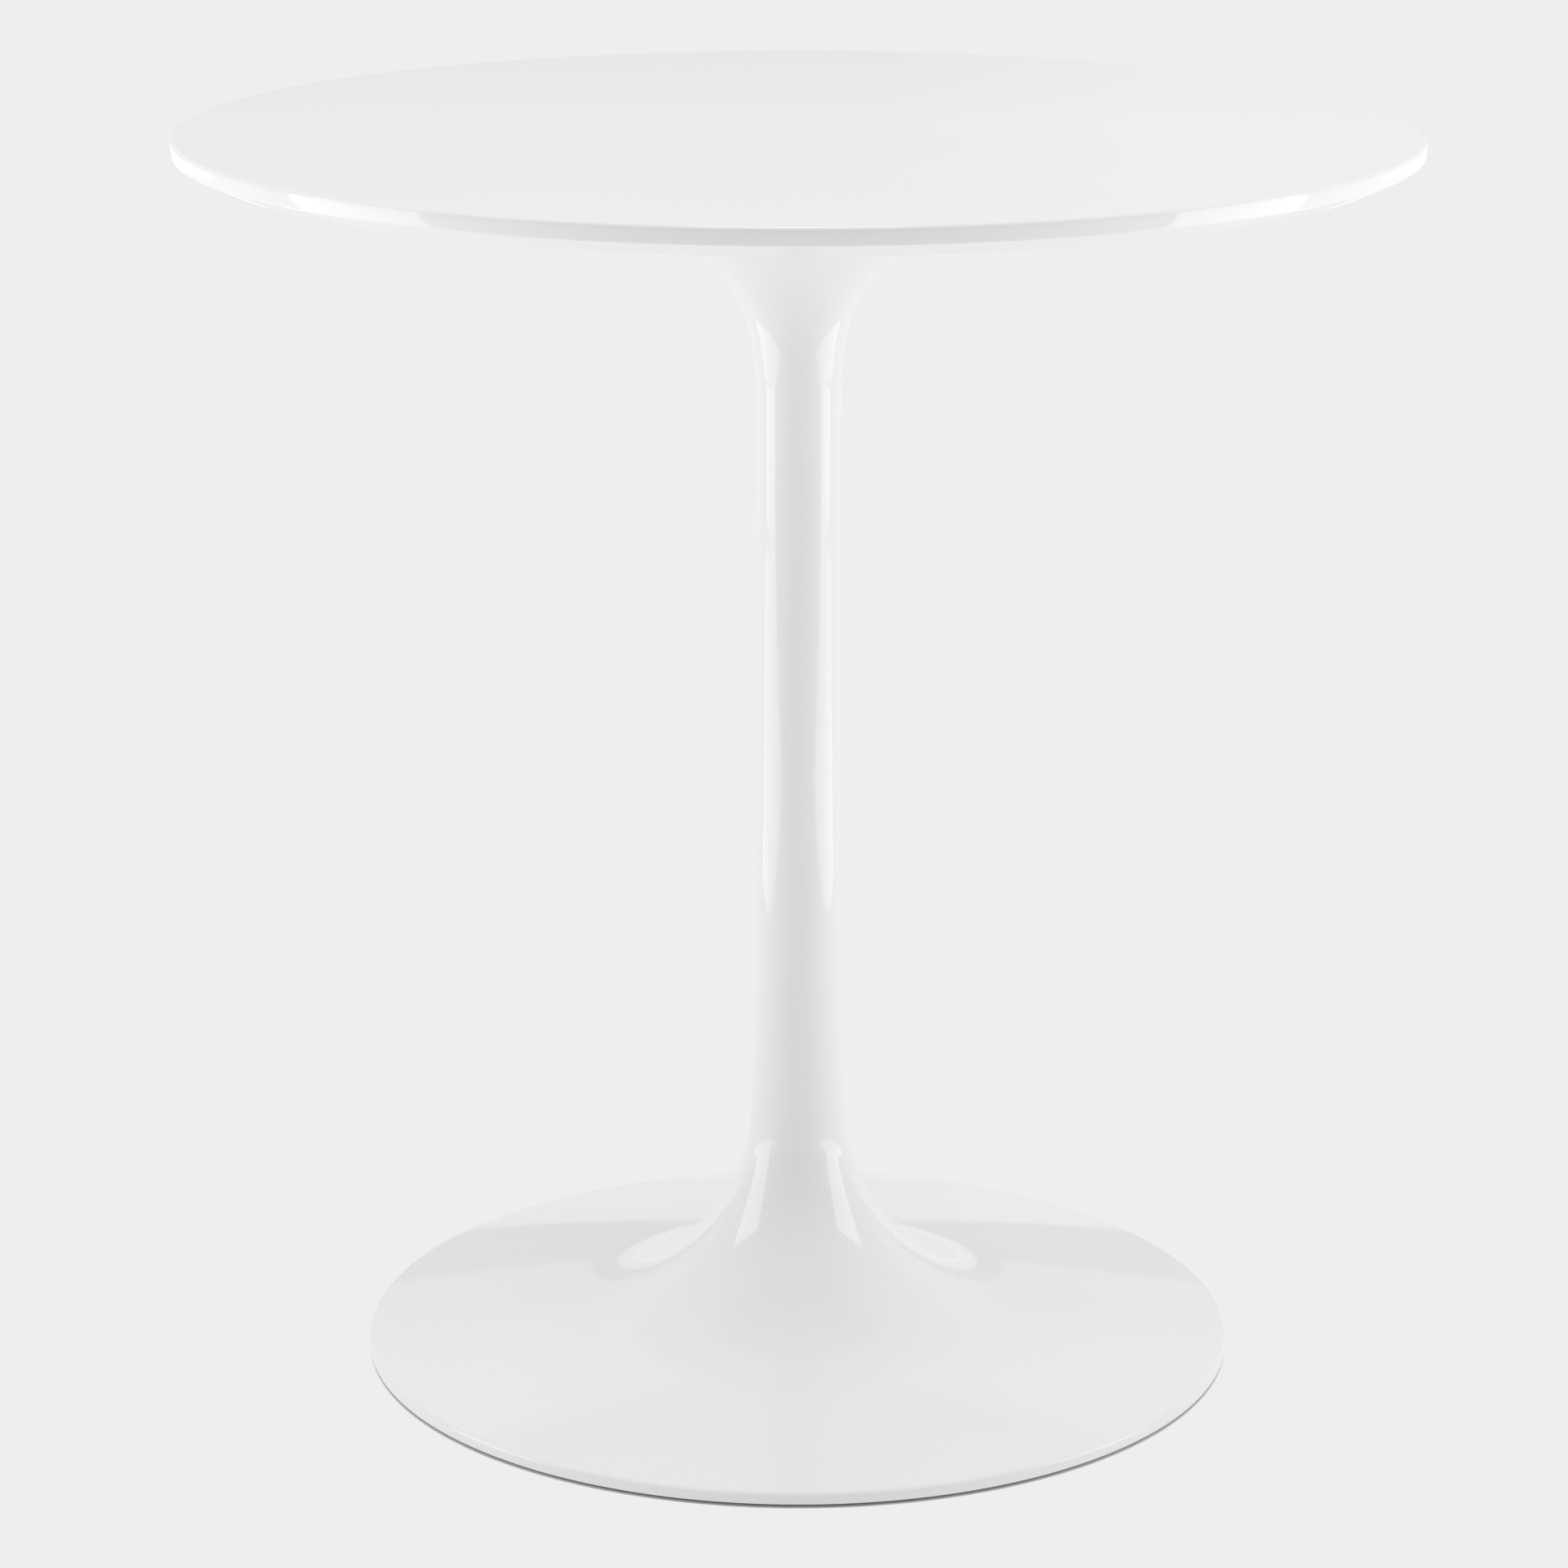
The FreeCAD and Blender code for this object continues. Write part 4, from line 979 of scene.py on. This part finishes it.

# %% [markdown]
# ## Floor and light
#
# A white object on a white ground is shown by what it reflects. The floor glows by
# itself and takes almost no light, so that it stays even out to the horizon. Under the
# foot the glow is masked off, a painted shadow that draws the dark line where the foot
# meets the floor; there the floor takes real light on white paint instead.
#
# The room is bright overhead, half lit behind the table and dim behind the camera, and
# the dim part is what darkens the edge of the board and the middle of the column. A
# box at each side lights the curves from the left and right. The column is seen from
# above, so its flanks show the floor, and a panel lying on the floor at each side puts
# the long highlights there. A small box overhead draws the bright line on the board's
# edge. The back of the dish shows what stands low behind the table: two cards with a
# darker gap between them, which draw the bands there.

# %% Lay the floor
FLOOR_SIZE = 60
FLOOR_GLOW, FLOOR_PAINT, SHADED_PAINT = 0.838, 0.02, 0.80
floor_mesh = bpy.data.meshes.new("floor")
sides = ((-1, -1), (1, -1), (1, 1), (-1, 1))
corners = [(x * FLOOR_SIZE / 2, y * FLOOR_SIZE / 2, 0) for x, y in sides]
floor_mesh.from_pydata(corners, [], [(0, 1, 2, 3)])
floor = link("floor", floor_mesh)
floor_paint, bench, shader = new_finish("floor_paint", Roughness=0.8, Specular_IOR_Level=0.0)
dust = spread(bench, drift(bench, 0.6, 3.0), 0.0, 1.0)
place = bench.add("ShaderNodeTexCoord").outputs["Object"]
length = bench.add("ShaderNodeVectorMath", {"operation": "LENGTH"}, Vector=place)
# Painted shadow: a mask that is 0 under the foot and 1 outside it, so the floor stops glowing under
# the rim
outside_painted_shadow = bench.add("ShaderNodeMapRange", Value=length.outputs["Value"],
                       From_Min=FOOT_RADIUS - 1.0 * MM, From_Max=FOOT_RADIUS).outputs[0]
paint = blend_of(bench, dust, (FLOOR_PAINT,) * 3, (FLOOR_PAINT * 0.97,) * 3)
bench.put(shader["Base Color"], blend_of(bench, outside_painted_shadow, (SHADED_PAINT,) * 3, paint))
shader["Emission Strength"].default_value = FLOOR_GLOW
# The glow is masked off under the foot: a painted shadow that draws the dark line below the rim
bench.put(shader["Emission Color"], blend_of(bench, outside_painted_shadow, (0, 0, 0), (1, 1, 1)))
floor_mesh.materials.append(floor_paint)

# %% Light the room
world = bpy.data.worlds.new("studio")
bpy.context.scene.world = world
world.use_nodes = True
bench = Bench(world.node_tree, grouped=False)
direction = bench.add("ShaderNodeTexCoord").outputs["Generated"]
split = bench.add("ShaderNodeSeparateXYZ", Vector=direction).outputs
FRONT_LIGHT, BACK_LIGHT, TOP_LIGHT, RIGHT_EXTRA = 0.34, 0.55, 1.06, 0.06
walls = bench.add("ShaderNodeMapRange", Value=split["Y"], From_Min=-0.8, From_Max=0.3,
                  To_Min=FRONT_LIGHT, To_Max=BACK_LIGHT).outputs[0]
right = bench.add("ShaderNodeMapRange", Value=split["X"], From_Min=0.02, From_Max=0.08,
                  To_Max=RIGHT_EXTRA).outputs[0]
walls = bench.sum("ADD", walls, right)
lift = bench.add("ShaderNodeMapRange", Value=split["Z"], From_Min=0.35, From_Max=0.8).outputs[0]
glow = bench.sum("ADD", bench.sum("MULTIPLY", walls, bench.sum("SUBTRACT", 1.0, lift)),
                 bench.sum("MULTIPLY", lift, TOP_LIGHT))
background = world.node_tree.nodes["Background"].inputs
bench.put(background["Strength"], glow)
background["Color"].default_value = (1, 1, 1, 1)


def softbox(name, azimuth, distance, height, size, strength, aim):
    """An area light that the camera doesn't see itself.

    The azimuth is in degrees from straight in front of the table, lengths are in
    metres, and the strength is per area, so that a larger box is not a dimmer one.
    """
    lamp = bpy.data.lights.new(name, "AREA")
    lamp.shape, lamp.size, lamp.size_y = "RECTANGLE", *size
    lamp.energy = strength * math.pi * size[0] * size[1]
    turn = math.radians(azimuth)
    made = link(name, lamp)
    made.location = (distance * math.sin(turn), -distance * math.cos(turn), height)
    made.rotation_euler = (made.location - Vector(aim)).to_track_quat("Z", "Y").to_euler()
    made.visible_camera = False


SIDE_AZIMUTH, BOX_STRENGTH, PANEL_STRENGTH, TOP_STRENGTH = 80, 2.0, 1.5, 4.0
OVER_PANEL = (1.4772, -0.2605, 1.0)  # straight over the right-hand panel, mirrored for the left
CARD_DISTANCE, CARD_WIDTH = 3.0, 8.0
CARDS = {"low card": (0.0, 0.35, 0.30), "high card": (0.75, 2.4, 0.22)}  # from, to, strength
for side, hand in (("left", -1), ("right", 1)):
    azimuth = SIDE_AZIMUTH * hand
    softbox(f"{side} box", azimuth, 2.2, 0.8, (1.2, 1.6), BOX_STRENGTH, (0, 0, 0.8))
    softbox(f"{side} floor panel", azimuth, 1.5, 0.01, (1.2, 1.3), PANEL_STRENGTH,
            (OVER_PANEL[0] * hand, *OVER_PANEL[1:]))
softbox("top box", 0, 0.0, 2.4, (0.6, 0.6), TOP_STRENGTH, (0, 0, 0.7))
for card, (low, high, strength) in CARDS.items():
    middle = (low + high) / 2
    softbox(card, 180, CARD_DISTANCE, middle, (CARD_WIDTH, high - low), strength, (0, 0, middle))
print("lights:", len(bpy.data.lights))

# %% [markdown]
# ## Camera
#
# The table is seen from a little above the board, with a lens long enough to keep the
# ellipse of the board flat and calm. The camera stands straight in front and looks
# down by a fixed angle, and depth of field stays off.

# %% Place the camera
SENSOR, LENS = 36.0, 111.04
CAMERA_PLACE = (0.0, -2.7555, 1.1216)
LOOK_DOWN, TURN_LEFT = 0.2737, 0.003
camera_data = bpy.data.cameras.new("camera")
camera_data.sensor_width = SENSOR
camera_data.lens = LENS
camera = link("camera", camera_data)
camera.location = CAMERA_PLACE
camera.rotation_euler = (math.pi / 2 - LOOK_DOWN, 0.0, TURN_LEFT)
bpy.context.scene.camera = camera
bpy.context.scene.view_settings.view_transform = "Standard"
bpy.context.scene.view_settings.look = "None"
